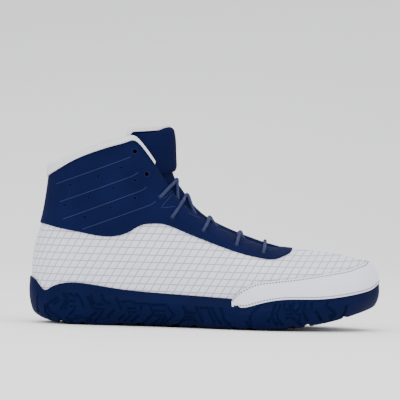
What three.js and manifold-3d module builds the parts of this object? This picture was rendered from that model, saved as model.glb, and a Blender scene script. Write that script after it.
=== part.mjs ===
// A high-top wrestling shoe for the right foot, standing empty on its sole.
// Millimetres. +X is the toe, -Y the outer side of the foot, +Z up.
// The upper is one surface worked out from the last: a ribbon climbs from the sole's edge to the
// top edge at every place round the shoe, and each covering piece is a band of that same surface.

import * as THREE from 'three';
import { mergeVertices } from 'three/addons/utils/BufferGeometryUtils.js';
import Module from 'manifold-3d';

const wasm = await Module();
wasm.setup();

// Sizes of the last
const LAST_LENGTH = 287.5;        // heel to toe over the upper
const BALL_WIDTH = 101;           // widest place of the forefoot
const HEEL_WIDTH = 70;            // widest place of the heel
const COUNTER_HEIGHT = 67;        // height at which the heel's back starts to lean forward
const BACK_HEIGHT = 130;          // top edge at the heel
const COLLAR_HEIGHT = 155;        // top edge at the front corners of the collar
const INSTEP_HEIGHT = 91.5;       // throat edge over the middle of the instep
const VAMP_HEIGHT = 67.5;         // front end of the throat
const COLLAR_WIDTH = 71;          // across the top edge, side to side
const THROAT_WIDTH = 34;          // across the throat at the instep
const INNER_COLLAR_RISE = 2.2;    // the collar's inner side stands this much higher
const FEATHER_INSET = 3.5;        // the wall's lower edge lies this far inside the outline
const HEEL_SWELL = 7;             // pull of the heel's back past the outline
const TOE_SWELL = 3;              // and so does the toe box

// Sizes of the sole
const SOLE_THICKNESS = 7;         // floor of the cup above the ground
const LUG_DEPTH = 2.2;            // grooves between the lugs
const TOE_SPRING = 20.5;          // underside of the toe tip above the ground
const HEEL_BEVEL = 8;             // underside of the heel's end above the ground
const ARCH_RISE = 1;              // underside between heel and forefoot
const WALL_HEIGHT = 34.5;         // rubber wall at its crest beside the heel
const WALL_RIM = 1.5;             // thickness of the wall at its top edge
const WALL_BULGE = 1.7;           // how far the wall swells past its rim
const RIB_DEPTH = 1.1;            // grooves in the side of the wall
const RIB_WIDTH = 2.4;
const RIB_PITCH = 11.6;
const RIB_SLANT = 0.42;           // radians each way from upright
const LUG_PITCH = 23.2;
const LUG_GROOVE = 4;             // width of a groove between lugs
const LUG_SLANT = 0.12;           // radians each way from straight across

// Walls, pads and clearances
const UPPER_WALL = 1.8;
const PANEL_WALL = 1;
const OVERLAY_WALL = 1.2;
const BINDING_WALL = 1.5;
const BINDING_DEPTH = 9.4;        // how far the binding reaches down at the heel
const TONGUE_WALL = 3.2;
const TONGUE_RISE = 11;           // tongue above the collar's front corners
const TONGUE_UNDERLAP = 11;       // tongue under each throat edge
const PAD_THICKNESS = 3.6;
const INSOLE_THICKNESS = 3;
const HOLE_DIAMETER = 3.8;
const LACE_DIAMETER = 2.8;
const CLEARANCE = 0.3;            // between pieces that lie on each other
const CURVED_CLEARANCE = 0.45;    // between curved pieces, whose flat faces cut across the curve
const TONGUE_FACE_CLEARANCE = 0.65;   // between the tongue's strong curve and what lies on it
const TONGUE_CLEARANCE = 0.8;     // between the loose tongue and the upper over it
const OVERLAY_GAP = 0.7;          // between the toe overlay's lower edge and the rubber wall

// How finely the surfaces are divided
const AROUND_STEPS = 25;          // ribbons along each side
const RIBBON_STEPS = 8;           // steps up each ribbon
const STRAND_STEPS = 8;           // steps along each strand of the lace

const mix = (a, b, t) => a + (b - a) * t;
const smooth = (t) => t * t * (3 - 2 * t);
const clamp01 = (t) => Math.min(1, Math.max(0, t));
const alongX = (share) => (share - 0.5) * LAST_LENGTH;

// Plan outline of the last: share of the length from the heel, and the half-widths each side.
const OUTLINE = [
  { along: 0.021, outer: 0.250 * HEEL_WIDTH, inner: 0.243 * HEEL_WIDTH },
  { along: 0.066, outer: 0.405 * HEEL_WIDTH, inner: 0.393 * HEEL_WIDTH },
  { along: 0.135, outer: 0.493 * HEEL_WIDTH, inner: 0.466 * HEEL_WIDTH },
  { along: 0.240, outer: 0.503 * HEEL_WIDTH, inner: 0.451 * HEEL_WIDTH },
  { along: 0.355, outer: 0.522 * HEEL_WIDTH, inner: 0.430 * HEEL_WIDTH },
  { along: 0.459, outer: 0.402 * BALL_WIDTH, inner: 0.328 * BALL_WIDTH },
  { along: 0.563, outer: 0.470 * BALL_WIDTH, inner: 0.393 * BALL_WIDTH },
  { along: 0.667, outer: 0.505 * BALL_WIDTH, inner: 0.462 * BALL_WIDTH },
  { along: 0.765, outer: 0.486 * BALL_WIDTH, inner: 0.484 * BALL_WIDTH },
  { along: 0.854, outer: 0.418 * BALL_WIDTH, inner: 0.446 * BALL_WIDTH },
  { along: 0.927, outer: 0.292 * BALL_WIDTH, inner: 0.361 * BALL_WIDTH },
  { along: 0.977, outer: 0.122 * BALL_WIDTH, inner: 0.228 * BALL_WIDTH },
];
const TOE_SWING = 0.062 * BALL_WIDTH;   // the toe tip lies towards the inner side

// Heights between two named ones.
const collarRise = (share) => mix(BACK_HEIGHT, COLLAR_HEIGHT, share);
const shinRise = (share) => mix(INSTEP_HEIGHT, COLLAR_HEIGHT, share);
const throatRise = (share) => mix(VAMP_HEIGHT, INSTEP_HEIGHT, share);

// Top edge, from the heel round a side to the front end of the throat. "around" is the share of
// the way along the outline.
const TOP_EDGE = [
  { around: 0.054, along: 0.056, height: collarRise(0.030), half: 0.190 * COLLAR_WIDTH },
  { around: 0.106, along: 0.090, height: collarRise(0.165), half: 0.335 * COLLAR_WIDTH },
  { around: 0.169, along: 0.139, height: collarRise(0.430), half: 0.450 * COLLAR_WIDTH },
  { around: 0.259, along: 0.228, height: collarRise(0.805), half: 0.500 * COLLAR_WIDTH },
  { around: 0.312, along: 0.268, height: collarRise(0.955), half: 0.476 * COLLAR_WIDTH },
  { around: 0.334, along: 0.286, height: collarRise(0.990), half: 0.457 * COLLAR_WIDTH },
  { around: 0.350, along: 0.300, height: shinRise(0.950), half: 0.437 * COLLAR_WIDTH },
  { around: 0.368, along: 0.312, height: shinRise(0.885), half: 0.418 * COLLAR_WIDTH },
  { around: 0.400, along: 0.334, height: shinRise(0.745), half: 0.384 * COLLAR_WIDTH },
  { around: 0.450, along: 0.371, height: shinRise(0.475), half: 0.333 * COLLAR_WIDTH },
  { around: 0.500, along: 0.405, height: shinRise(0.262), half: 0.617 * THROAT_WIDTH },
  { around: 0.545, along: 0.437, height: shinRise(0.120), half: 0.548 * THROAT_WIDTH },
  { around: 0.590, along: 0.476, height: throatRise(0.980), half: 0.488 * THROAT_WIDTH },
  { around: 0.635, along: 0.521, height: throatRise(0.690), half: 0.440 * THROAT_WIDTH },
  { around: 0.680, along: 0.565, height: throatRise(0.450), half: 0.400 * THROAT_WIDTH },
  { around: 0.720, along: 0.602, height: throatRise(0.270), half: 0.370 * THROAT_WIDTH },
  { around: 0.762, along: 0.635, height: throatRise(0.125), half: 0.345 * THROAT_WIDTH },
  { around: 0.802, along: 0.663, height: throatRise(0.025), half: 0.312 * THROAT_WIDTH },
  { around: 0.840, along: 0.684, height: throatRise(-0.035), half: 0.268 * THROAT_WIDTH },
  { around: 0.880, along: 0.700, height: throatRise(-0.045), half: 0.200 * THROAT_WIDTH },
  { around: 0.940, along: 0.712, height: throatRise(-0.015), half: 0.100 * THROAT_WIDTH },
];
const BACK_ALONG = 0.048;         // share of the length at the heel's top edge
const VAMP_ALONG = 0.7165;        // share of the length at the throat's front end
const SWING_START = 0.45;         // from here to its front end the throat leaves the middle
const THROAT_SWING = 0.35 * TOE_SWING;

// Shoulder of the ribbons: its height each side, and how far it leans in towards the top edge.
const SHOULDER = [
  { around: 0.000, outer: 1.12 * COUNTER_HEIGHT, inner: 1.12 * COUNTER_HEIGHT, lean: 0.73 },
  { around: 0.110, outer: 1.07 * COUNTER_HEIGHT, inner: 1.07 * COUNTER_HEIGHT, lean: 0.46 },
  { around: 0.260, outer: 0.97 * COUNTER_HEIGHT, inner: 0.99 * COUNTER_HEIGHT, lean: 0.10 },
  { around: 0.360, outer: 0.93 * COUNTER_HEIGHT, inner: 0.97 * COUNTER_HEIGHT, lean: 0.12 },
  { around: 0.450, outer: 0.89 * COUNTER_HEIGHT, inner: 0.95 * COUNTER_HEIGHT, lean: 0.10 },
  { around: 0.545, outer: 0.86 * VAMP_HEIGHT, inner: 0.95 * VAMP_HEIGHT, lean: 0.10 },
  { around: 0.635, outer: 0.79 * VAMP_HEIGHT, inner: 0.89 * VAMP_HEIGHT, lean: 0.09 },
  { around: 0.720, outer: 0.73 * VAMP_HEIGHT, inner: 0.83 * VAMP_HEIGHT, lean: 0.06 },
  { around: 0.802, outer: 0.71 * VAMP_HEIGHT, inner: 0.80 * VAMP_HEIGHT, lean: 0.03 },
  { around: 0.880, outer: 0.75 * VAMP_HEIGHT, inner: 0.82 * VAMP_HEIGHT, lean: 0 },
  { around: 0.940, outer: 0.83 * VAMP_HEIGHT, inner: 0.86 * VAMP_HEIGHT, lean: 0 },
  { around: 1.000, outer: 0.905 * VAMP_HEIGHT, inner: 0.905 * VAMP_HEIGHT, lean: 0 },
];
// Fullness of the ribbons: how far they swell outwards, and how tightly they bend below and above
// the shoulder.
const FULLNESS = [
  { around: 0.000, swell: HEEL_SWELL, below: 0.90, above: 0.07 },
  { around: 0.110, swell: 0.40 * HEEL_SWELL, below: 0.72, above: 0.26 },
  { around: 0.260, swell: 0, below: 0.50, above: 0.50 },
  { around: 0.360, swell: 0, below: 0.50, above: 0.48 },
  { around: 0.450, swell: 0, below: 0.50, above: 0.45 },
  { around: 0.545, swell: 0.17 * TOE_SWELL, below: 0.50, above: 0.40 },
  { around: 0.635, swell: 0.33 * TOE_SWELL, below: 0.50, above: 0.35 },
  { around: 0.720, swell: 0.53 * TOE_SWELL, below: 0.50, above: 0.30 },
  { around: 0.802, swell: 0.67 * TOE_SWELL, below: 0.50, above: 0.27 },
  { around: 0.880, swell: 0.80 * TOE_SWELL, below: 0.50, above: 0.25 },
  { around: 0.940, swell: 0.93 * TOE_SWELL, below: 0.52, above: 0.24 },
  { around: 1.000, swell: TOE_SWELL, below: 0.55, above: 0.23 },
];

// Lines seen from the side, each a height over a share of the length.
const WALL_LINE = [
  { along: 0.000, height: 1.100 * WALL_HEIGHT },
  { along: 0.012, height: 1.050 * WALL_HEIGHT },
  { along: 0.028, height: 0.900 * WALL_HEIGHT },
  { along: 0.045, height: 0.795 * WALL_HEIGHT },
  { along: 0.062, height: 0.870 * WALL_HEIGHT },
  { along: 0.085, height: 0.955 * WALL_HEIGHT },
  { along: 0.118, height: 1.000 * WALL_HEIGHT },
  { along: 0.165, height: 0.982 * WALL_HEIGHT },
  { along: 0.245, height: 0.890 * WALL_HEIGHT },
  { along: 0.315, height: 0.835 * WALL_HEIGHT },
  { along: 0.420, height: 0.792 * WALL_HEIGHT },
  { along: 0.520, height: 0.765 * WALL_HEIGHT },
  { along: 0.565, height: 0.740 * WALL_HEIGHT },
  { along: 0.585, height: 0.580 * WALL_HEIGHT },
  { along: 0.610, height: 0.535 * WALL_HEIGHT },
  { along: 0.640, height: 0.590 * WALL_HEIGHT },
  { along: 0.685, height: 0.692 * WALL_HEIGHT },
  { along: 0.730, height: 0.747 * WALL_HEIGHT },
  { along: 0.820, height: 0.770 * WALL_HEIGHT },
  { along: 0.870, height: 0.810 * WALL_HEIGHT },
  { along: 0.915, height: 0.872 * WALL_HEIGHT },
  { along: 0.960, height: 0.957 * WALL_HEIGHT },
  { along: 0.982, height: 1.030 * WALL_HEIGHT },
  { along: 1.000, height: 1.145 * WALL_HEIGHT },
];
const PANEL_LINE = [
  { along: 0.000, height: 1.235 * COUNTER_HEIGHT },
  { along: 0.023, height: 1.230 * COUNTER_HEIGHT },
  { along: 0.079, height: 1.182 * COUNTER_HEIGHT },
  { along: 0.125, height: 1.150 * COUNTER_HEIGHT },
  { along: 0.195, height: 1.100 * COUNTER_HEIGHT },
  { along: 0.241, height: 1.102 * COUNTER_HEIGHT },
  { along: 0.287, height: 1.176 * COUNTER_HEIGHT },
  { along: 0.310, height: 1.238 * COUNTER_HEIGHT },
  { along: 0.335, height: 1.262 * COUNTER_HEIGHT },
  { along: 0.378, height: 1.262 * COUNTER_HEIGHT },
  { along: 0.425, height: 1.194 * COUNTER_HEIGHT },
  { along: 0.518, height: 1.045 * COUNTER_HEIGHT },
  { along: 0.611, height: 0.920 * COUNTER_HEIGHT },
  { along: 0.660, height: 0.878 * COUNTER_HEIGHT },
  { along: 0.690, height: 0.868 * COUNTER_HEIGHT },
  { along: 0.712, height: 0.884 * COUNTER_HEIGHT },
  { along: 0.735, height: 0.925 * COUNTER_HEIGHT },
  { along: 0.750, height: 0.985 * COUNTER_HEIGHT },
  { along: 0.760, height: 1.100 * COUNTER_HEIGHT },
];
const OVERLAY_LINE = [
  { along: 0.575, height: 0.310 * VAMP_HEIGHT },
  { along: 0.587, height: 0.405 * VAMP_HEIGHT },
  { along: 0.610, height: 0.495 * VAMP_HEIGHT },
  { along: 0.637, height: 0.557 * VAMP_HEIGHT },
  { along: 0.674, height: 0.591 * VAMP_HEIGHT },
  { along: 0.777, height: 0.643 * VAMP_HEIGHT },
  { along: 0.865, height: 0.701 * VAMP_HEIGHT },
  { along: 0.915, height: 0.745 * VAMP_HEIGHT },
  { along: 0.945, height: 0.790 * VAMP_HEIGHT },
  { along: 0.962, height: 0.840 * VAMP_HEIGHT },
  { along: 0.975, height: 0.960 * VAMP_HEIGHT },
];
// Binding of the collar: how far it reaches down from the top edge, round to its front end.
const BINDING = [
  { around: 0.000, depth: 1.00 * BINDING_DEPTH },
  { around: 0.054, depth: 0.88 * BINDING_DEPTH },
  { around: 0.106, depth: 0.64 * BINDING_DEPTH },
  { around: 0.169, depth: 0.48 * BINDING_DEPTH },
  { around: 0.259, depth: 0.42 * BINDING_DEPTH },
  { around: 0.320, depth: 0.38 * BINDING_DEPTH },
  { around: 0.350, depth: 0.52 * BINDING_DEPTH },
  { around: 0.375, depth: 0.66 * BINDING_DEPTH },
  { around: 0.414, depth: 0.66 * BINDING_DEPTH },
];

// Ridge of the tongue over the throat, from its front end up the instep and the shin. Each row
// lies across from the throat edge at the same "around".
const CORNER_AROUND = 0.36;
const TONGUE_RIDGE = [
  { around: 0.940, along: 0.7130, height: 1.007 * VAMP_HEIGHT },
  { around: 0.880, along: 0.7035, height: 1.020 * VAMP_HEIGHT },
  { around: 0.840, along: 0.6913, height: 1.034 * VAMP_HEIGHT },
  { around: 0.802, along: 0.6704, height: 1.056 * VAMP_HEIGHT },
  { around: 0.762, along: 0.6426, height: 1.093 * VAMP_HEIGHT },
  { around: 0.720, along: 0.6078, height: 0.844 * INSTEP_HEIGHT },
  { around: 0.680, along: 0.5696, height: 0.890 * INSTEP_HEIGHT },
  { around: 0.635, along: 0.5313, height: 0.943 * INSTEP_HEIGHT },
  { around: 0.590, along: 0.4878, height: 1.024 * INSTEP_HEIGHT },
  { around: 0.545, along: 0.4530, height: 1.130 * INSTEP_HEIGHT },
  { around: 0.500, along: 0.4280, height: 0.728 * COLLAR_HEIGHT },
  { around: 0.450, along: 0.4030, height: 0.800 * COLLAR_HEIGHT },
  { around: 0.400, along: 0.3930, height: 0.890 * COLLAR_HEIGHT },
  { around: CORNER_AROUND, along: 0.3905, height: 0.970 * COLLAR_HEIGHT },
];
const TONGUE_TOP_ALONG = 0.3800;

// Lace holes from the top down, seen from the side.
const HOLES = [
  { along: 0.289, height: 0.927 * COLLAR_HEIGHT },
  { along: 0.324, height: 0.808 * COLLAR_HEIGHT },
  { along: 0.364, height: 1.165 * INSTEP_HEIGHT },
  { along: 0.401, height: 0.987 * INSTEP_HEIGHT },
  { along: 0.491, height: 0.869 * INSTEP_HEIGHT },
  { along: 0.586, height: 1.010 * VAMP_HEIGHT },
  { along: 0.664, height: 0.922 * VAMP_HEIGHT },
];

// Lowest stretches of the sole, as shares of the length: heel flat, arch and forefoot flat.
const HEEL_FLAT = 0.131;
const ARCH_START = 0.2;
const ARCH_END = 0.545;
const SPRING_START = 0.64;
const FLOOR_FOLLOW = 0.85;        // share of spring and bevel that the floor inside takes up

// Grooves of the sole, as shares of the length: first and last on the wall and on the underside.
const RIB_START = 0.06;
const RIB_END = 0.8;
const LUG_START = 0.085;
const LUG_END = 0.9;

// A smooth curve through the rows of a table, closed when a period is given.
function curveThrough(knots, values, period = 0) {
  const count = knots.length;
  const knot = (i) => knots[(i + count) % count] + period * Math.floor(i / count);
  const value = (i) => values[(i + count) % count];
  const slope = (i) => (value(i + 1) - value(i)) / (knot(i + 1) - knot(i));
  const tangents = knots.map(() => 0);
  for (let pass = 0; pass < 60; pass += 1) {
    for (let i = 0; i < count; i += 1) {
      const first = !period && i === 0;
      const last = !period && i === count - 1;
      if (first || last) {
        tangents[i] = first ? slope(0) : slope(count - 2);
        continue;
      }
      const before = knot(i) - knot(i - 1);
      const after = knot(i + 1) - knot(i);
      const pull = 3 * (after * slope(i - 1) + before * slope(i));
      const left = tangents[(i - 1 + count) % count];
      const right = tangents[(i + 1) % count];
      tangents[i] = (pull - after * left - before * right) / (2 * (before + after));
    }
  }
  return (where) => {
    let at = where;
    if (period) at -= period * Math.floor((at - knots[0]) / period);
    else at = Math.min(knots[count - 1], Math.max(knots[0], at));
    let i = 0;
    while (i < count - (period ? 1 : 2) && knot(i + 1) <= at) i += 1;
    const span = knot(i + 1) - knot(i);
    const t = (at - knot(i)) / span;
    const start = value(i) + t * span * tangents[i % count];
    const bend = 3 * (value(i + 1) - value(i)) - span * (2 * tangents[i % count] + tangents[(i + 1) % count]);
    const twist = 2 * (value(i) - value(i + 1)) + span * (tangents[i % count] + tangents[(i + 1) % count]);
    return start + bend * t * t + twist * t * t * t;
  };
}

// Places round the shoe run from -1 over 0 to 1: 0 is the heel, 1 and -1 the toe, and the outer
// side is positive. A ring column joins the rows of both sides with the heel's and toe's values.
function ringColumn(shares, outer, inner, heel, toe) {
  const knots = [-1];
  const values = [toe];
  for (let i = shares.length - 1; i >= 0; i -= 1) {
    knots.push(-shares[i]);
    values.push(inner[i]);
  }
  knots.push(0);
  values.push(heel);
  shares.forEach((share, i) => {
    knots.push(share);
    values.push(outer[i]);
  });
  return curveThrough(knots, values, 2);
}

// Shares of the way along an outline, by the chords between its rows.
function chordShares(points) {
  const reach = [0];
  for (let i = 1; i < points.length; i += 1) {
    reach.push(reach[i - 1] + points[i].distanceTo(points[i - 1]));
  }
  return reach.slice(1, -1).map((length) => length / reach[reach.length - 1]);
}

const heelPoint = new THREE.Vector2(alongX(0), 0);
const toePoint = new THREE.Vector2(alongX(1), TOE_SWING);
const outerRows = OUTLINE.map((row) => new THREE.Vector2(alongX(row.along), -row.outer));
const innerRows = OUTLINE.map((row) => new THREE.Vector2(alongX(row.along), row.inner));
const outlineKnots = [-1];
const outlinePoints = [toePoint];
chordShares([heelPoint, ...innerRows, toePoint]).reverse().forEach((share, i) => {
  outlineKnots.push(-share);
  outlinePoints.push(innerRows[innerRows.length - 1 - i]);
});
outlineKnots.push(0);
outlinePoints.push(heelPoint);
chordShares([heelPoint, ...outerRows, toePoint]).forEach((share, i) => {
  outlineKnots.push(share);
  outlinePoints.push(outerRows[i]);
});
const outlineX = curveThrough(outlineKnots, outlinePoints.map((point) => point.x), 2);
const outlineY = curveThrough(outlineKnots, outlinePoints.map((point) => point.y), 2);

// Outline point at a place round the shoe, moved outwards in plan.
function outlineAt(around, out) {
  const step = 1e-4;
  const dx = outlineX(around + step) - outlineX(around - step);
  const dy = outlineY(around + step) - outlineY(around - step);
  const size = Math.hypot(dx, dy);
  return new THREE.Vector3(outlineX(around) + out * dy / size, outlineY(around) - out * dx / size, 0);
}

// Underside of the sole and floor of its cup at a place along the shoe.
function springAt(x) {
  const toe = clamp01((x - alongX(SPRING_START)) / (alongX(1) - alongX(SPRING_START)));
  const heel = clamp01((alongX(HEEL_FLAT) - x) / (alongX(HEEL_FLAT) - alongX(0)));
  return TOE_SPRING * toe ** 1.9 + HEEL_BEVEL * heel ** 2;
}
function underside(x) {
  const arch = clamp01((x - alongX(ARCH_START)) / (alongX(ARCH_END) - alongX(ARCH_START)));
  return springAt(x) + ARCH_RISE * Math.sin(Math.PI * arch) ** 2;
}
const floorAt = (x) => SOLE_THICKNESS + FLOOR_FOLLOW * springAt(x);

// The top edge of the upper.
const topShares = TOP_EDGE.map((row) => row.around);
const topX = ringColumn(
  topShares,
  TOP_EDGE.map((row) => alongX(row.along)),
  TOP_EDGE.map((row) => alongX(row.along)),
  alongX(BACK_ALONG),
  alongX(VAMP_ALONG),
);
function throatCentre(along) {
  const share = clamp01((along - SWING_START) / (VAMP_ALONG - SWING_START));
  return THROAT_SWING * smooth(share);
}
const topY = ringColumn(
  topShares,
  TOP_EDGE.map((row) => throatCentre(row.along) - row.half),
  TOP_EDGE.map((row) => throatCentre(row.along) + row.half),
  0,
  throatCentre(VAMP_ALONG),
);
const innerRise = (around) => INNER_COLLAR_RISE * Math.sin(Math.PI * clamp01(around / 0.42));
const topZ = ringColumn(
  topShares,
  TOP_EDGE.map((row) => row.height),
  TOP_EDGE.map((row) => row.height + innerRise(row.around)),
  BACK_HEIGHT,
  VAMP_HEIGHT,
);

// Column of a table whose first and last rows are the heel and the toe.
function roundColumn(table, outerName, innerName = outerName) {
  const rows = table.slice(1, -1);
  return ringColumn(
    rows.map((row) => row.around),
    rows.map((row) => row[outerName]),
    rows.map((row) => row[innerName]),
    table[0][outerName],
    table[table.length - 1][outerName],
  );
}
const shoulderZ = roundColumn(SHOULDER, 'outer', 'inner');
const shoulderLean = roundColumn(SHOULDER, 'lean');
const swellAt = roundColumn(FULLNESS, 'swell');
const bendBelow = roundColumn(FULLNESS, 'below');
const bendAbove = roundColumn(FULLNESS, 'above');

// Point of the last: "around" the shoe, and "up" the ribbon from the sole (0) to the top edge (1).
function ribbon(around, up) {
  const start = outlineAt(around, -FEATHER_INSET);
  start.z = floorAt(start.x) + CLEARANCE;
  const top = new THREE.Vector3(topX(around), topY(around), topZ(around));
  const wide = outlineAt(around, swellAt(around));
  const shoulder = wide.clone().lerp(top, shoulderLean(around));
  shoulder.z = shoulderZ(around);
  const low = wide.clone();
  low.z = mix(start.z, shoulder.z, bendBelow(around));
  const high = shoulder.clone().lerp(top, bendAbove(around));
  const down = 1 - up;
  return start.multiplyScalar(down ** 4)
    .addScaledVector(low, 4 * up * down ** 3)
    .addScaledVector(shoulder, 6 * up ** 2 * down ** 2)
    .addScaledVector(high, 4 * up ** 3 * down)
    .addScaledVector(top, up ** 4);
}
function normalAt(around, up) {
  const step = 1e-3;
  const along = ribbon(around + step, up).sub(ribbon(around - step, up));
  const rise = ribbon(around, up + step).sub(ribbon(around, up - step));
  return along.cross(rise).normalize();
}
// Point of the last moved outwards from its surface.
const skin = (around, up, out) => ribbon(around, up).addScaledVector(normalAt(around, up), out);

// Where a ribbon first climbs past a height, and where it climbs past a line of the side view.
function upWhere(around, isAbove) {
  let low = 0;
  let high = 1;
  for (let step = 1; step <= 40; step += 1) {
    high = step / 40;
    if (isAbove(ribbon(around, high))) break;
    low = high;
  }
  for (let pass = 0; pass < 24; pass += 1) {
    const middle = (low + high) / 2;
    if (isAbove(ribbon(around, middle))) high = middle;
    else low = middle;
  }
  return high;
}
const upAtHeight = (around, height) => upWhere(around, (point) => point.z > height);
function sideLine(rows) {
  return curveThrough(rows.map((row) => alongX(row.along)), rows.map((row) => row.height));
}
const wallLine = sideLine(WALL_LINE);
const panelLine = sideLine(PANEL_LINE);
const overlayLine = sideLine(OVERLAY_LINE);
const upAtLine = (around, line, above = 0) => upWhere(around, (point) => point.z > line(point.x) + above);

// Place on the last that the side view shows at a share of the length and a height.
function placeAt(side, along, height) {
  const target = new THREE.Vector2(alongX(along), height);
  const seen = (around, up) => {
    const point = ribbon(side * around, up);
    return new THREE.Vector2(point.x, point.z).sub(target);
  };
  let best = { around: 0.5, up: 0.5, miss: Infinity };
  for (let around = 0.03; around < 0.98; around += 0.03) {
    for (let up = 0.05; up < 1; up += 0.05) {
      const miss = seen(around, up).length();
      if (miss < best.miss) best = { around, up, miss };
    }
  }
  let { around, up } = best;
  const step = 1e-4;
  for (let pass = 0; pass < 12; pass += 1) {
    const miss = seen(around, up);
    const byAround = seen(around + step, up).sub(miss).divideScalar(step);
    const byUp = seen(around, up + step).sub(miss).divideScalar(step);
    const area = byAround.x * byUp.y - byAround.y * byUp.x;
    around -= (miss.x * byUp.y - miss.y * byUp.x) / area;
    up -= (byAround.x * miss.y - byAround.y * miss.x) / area;
  }
  return { around: side * around, up };
}

// Closed body between two grids of points, whose rows run along the piece. The grids' edges are
// closed by strips. The rows' ends are joined in a "ring", closed by strips where they are "open",
// or have met in one line by themselves, as at heel and toe, where they are "pointed".
function bodyBetween(outer, inner, ends) {
  const ring = ends === 'ring';
  const positions = [];
  const face = (a, b, c) => {
    if (a.distanceTo(b) < 1e-3 || b.distanceTo(c) < 1e-3 || c.distanceTo(a) < 1e-3) return;
    positions.push(...a.toArray(), ...b.toArray(), ...c.toArray());
  };
  const quad = (a, b, c, d) => {
    face(a, b, c);
    face(a, c, d);
  };
  const rows = outer.length;
  const last = outer[0].length - 1;
  for (let i = 0; i < (ring ? rows : rows - 1); i += 1) {
    const next = (i + 1) % rows;
    for (let j = 0; j < last; j += 1) {
      quad(outer[i][j], outer[next][j], outer[next][j + 1], outer[i][j + 1]);
      quad(inner[i][j], inner[i][j + 1], inner[next][j + 1], inner[next][j]);
    }
    quad(outer[i][0], inner[i][0], inner[next][0], outer[next][0]);
    quad(outer[i][last], outer[next][last], inner[next][last], inner[i][last]);
  }
  if (ends === 'open') {
    for (let j = 0; j < last; j += 1) {
      quad(outer[0][j], outer[0][j + 1], inner[0][j + 1], inner[0][j]);
      quad(outer[rows - 1][j], inner[rows - 1][j], inner[rows - 1][j + 1], outer[rows - 1][j + 1]);
    }
  }
  const geometry = new THREE.BufferGeometry();
  geometry.setAttribute('position', new THREE.Float32BufferAttribute(positions, 3));
  return geometry;
}

// Solid of a closed mesh for cutting and joining, and the mesh of a solid.
function solidOf(geometry) {
  const bare = geometry.index ? geometry.toNonIndexed() : geometry.clone();
  bare.deleteAttribute('normal');
  bare.deleteAttribute('uv');
  const merged = mergeVertices(bare, 1e-4);
  const mesh = new wasm.Mesh({
    numProp: 3,
    vertProperties: new Float32Array(merged.attributes.position.array),
    triVerts: new Uint32Array(merged.index.array),
  });
  return new wasm.Manifold(mesh);
}
function meshOf(solid) {
  const mesh = solid.getMesh();
  const geometry = new THREE.BufferGeometry();
  geometry.setAttribute('position', new THREE.BufferAttribute(mesh.vertProperties, 3));
  geometry.setIndex(new THREE.BufferAttribute(mesh.triVerts, 1));
  return geometry;
}
const join = (solids) => solids.reduce((whole, solid) => whole.add(solid));

// A geometry with its own Z turned to a direction and its X to another, moved to a place.
function placed(geometry, at, zAxis, xHint) {
  const z = zAxis.clone().normalize();
  const y = z.clone().cross(xHint).normalize();
  const x = y.clone().cross(z);
  return geometry.applyMatrix4(new THREE.Matrix4().makeBasis(x, y, z).setPosition(at));
}

// Stations round the upper, closer together at the collar's front corners, with one at the rear
// tip of the toe overlay.
const sideStations = [];
for (let i = 1; i < AROUND_STEPS; i += 1) sideStations.push(i / AROUND_STEPS);
sideStations.push(CORNER_AROUND - 0.034, CORNER_AROUND - 0.004);
const overlayTip = placeAt(1, OVERLAY_LINE[0].along + 0.006, OVERLAY_LINE[0].height).around;
sideStations.push(overlayTip);
sideStations.sort((a, b) => a - b);
const ringStations = [-1, ...sideStations.map((share) => -share).reverse(), 0, ...sideStations];
const steps = (count) => Array.from({ length: count + 1 }, (_, i) => i / count);

// A band of the last between two lines, from one depth to another, at the given stations.
function band(stations, upLow, upHigh, count, depthLow, depthHigh, ends) {
  const grid = (depth) => stations.map((around) => {
    const low = upLow(around);
    const high = upHigh(around);
    return steps(count).map((share) => skin(around, mix(low, high, share), depth));
  });
  return bodyBetween(grid(depthHigh), grid(depthLow), ends);
}

const PANEL_BASE = CURVED_CLEARANCE;
const PANEL_FACE = PANEL_BASE + PANEL_WALL;
const BINDING_END = BINDING[BINDING.length - 1].around;
const holePlaces = [1, -1].flatMap((side) => HOLES.map((row) => placeAt(side, row.along, row.height)));

// Cylinders that punch the lace holes through wall and panel.
function holePunch() {
  const cutters = holePlaces.map(({ around, up }) => {
    const depth = 4 * (UPPER_WALL + PANEL_FACE);
    const cutter = new THREE.CylinderGeometry(HOLE_DIAMETER / 2, HOLE_DIAMETER / 2, depth, 8);
    cutter.rotateX(Math.PI / 2);
    return solidOf(placed(cutter, ribbon(around, up), normalAt(around, up), new THREE.Vector3(1, 0, 0.3)));
  });
  return join(cutters);
}
const punch = holePunch();

function upperGeometry() {
  const wall = band(ringStations, () => 0, () => 1, RIBBON_STEPS, -UPPER_WALL, 0, 'ring');
  return meshOf(solidOf(wall).subtract(punch));
}

function anklePanelGeometry() {
  const low = (around) => upAtLine(around, panelLine);
  const panel = band(ringStations, low, () => 1, 3, PANEL_BASE, PANEL_FACE, 'ring');
  return meshOf(solidOf(panel).subtract(punch));
}

function toeOverlayGeometry() {
  const side = sideStations.filter((share) => share >= overlayTip);
  const stations = [...side, 1, ...side.map((share) => 2 - share).reverse()];
  const low = (around) => upAtLine(around, wallLine, OVERLAY_GAP);
  const high = (around) => Math.max(low(around) + 0.006, upAtLine(around, overlayLine));
  return band(stations, low, high, 3, CURVED_CLEARANCE, CURVED_CLEARANCE + OVERLAY_WALL, 'open');
}

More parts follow.
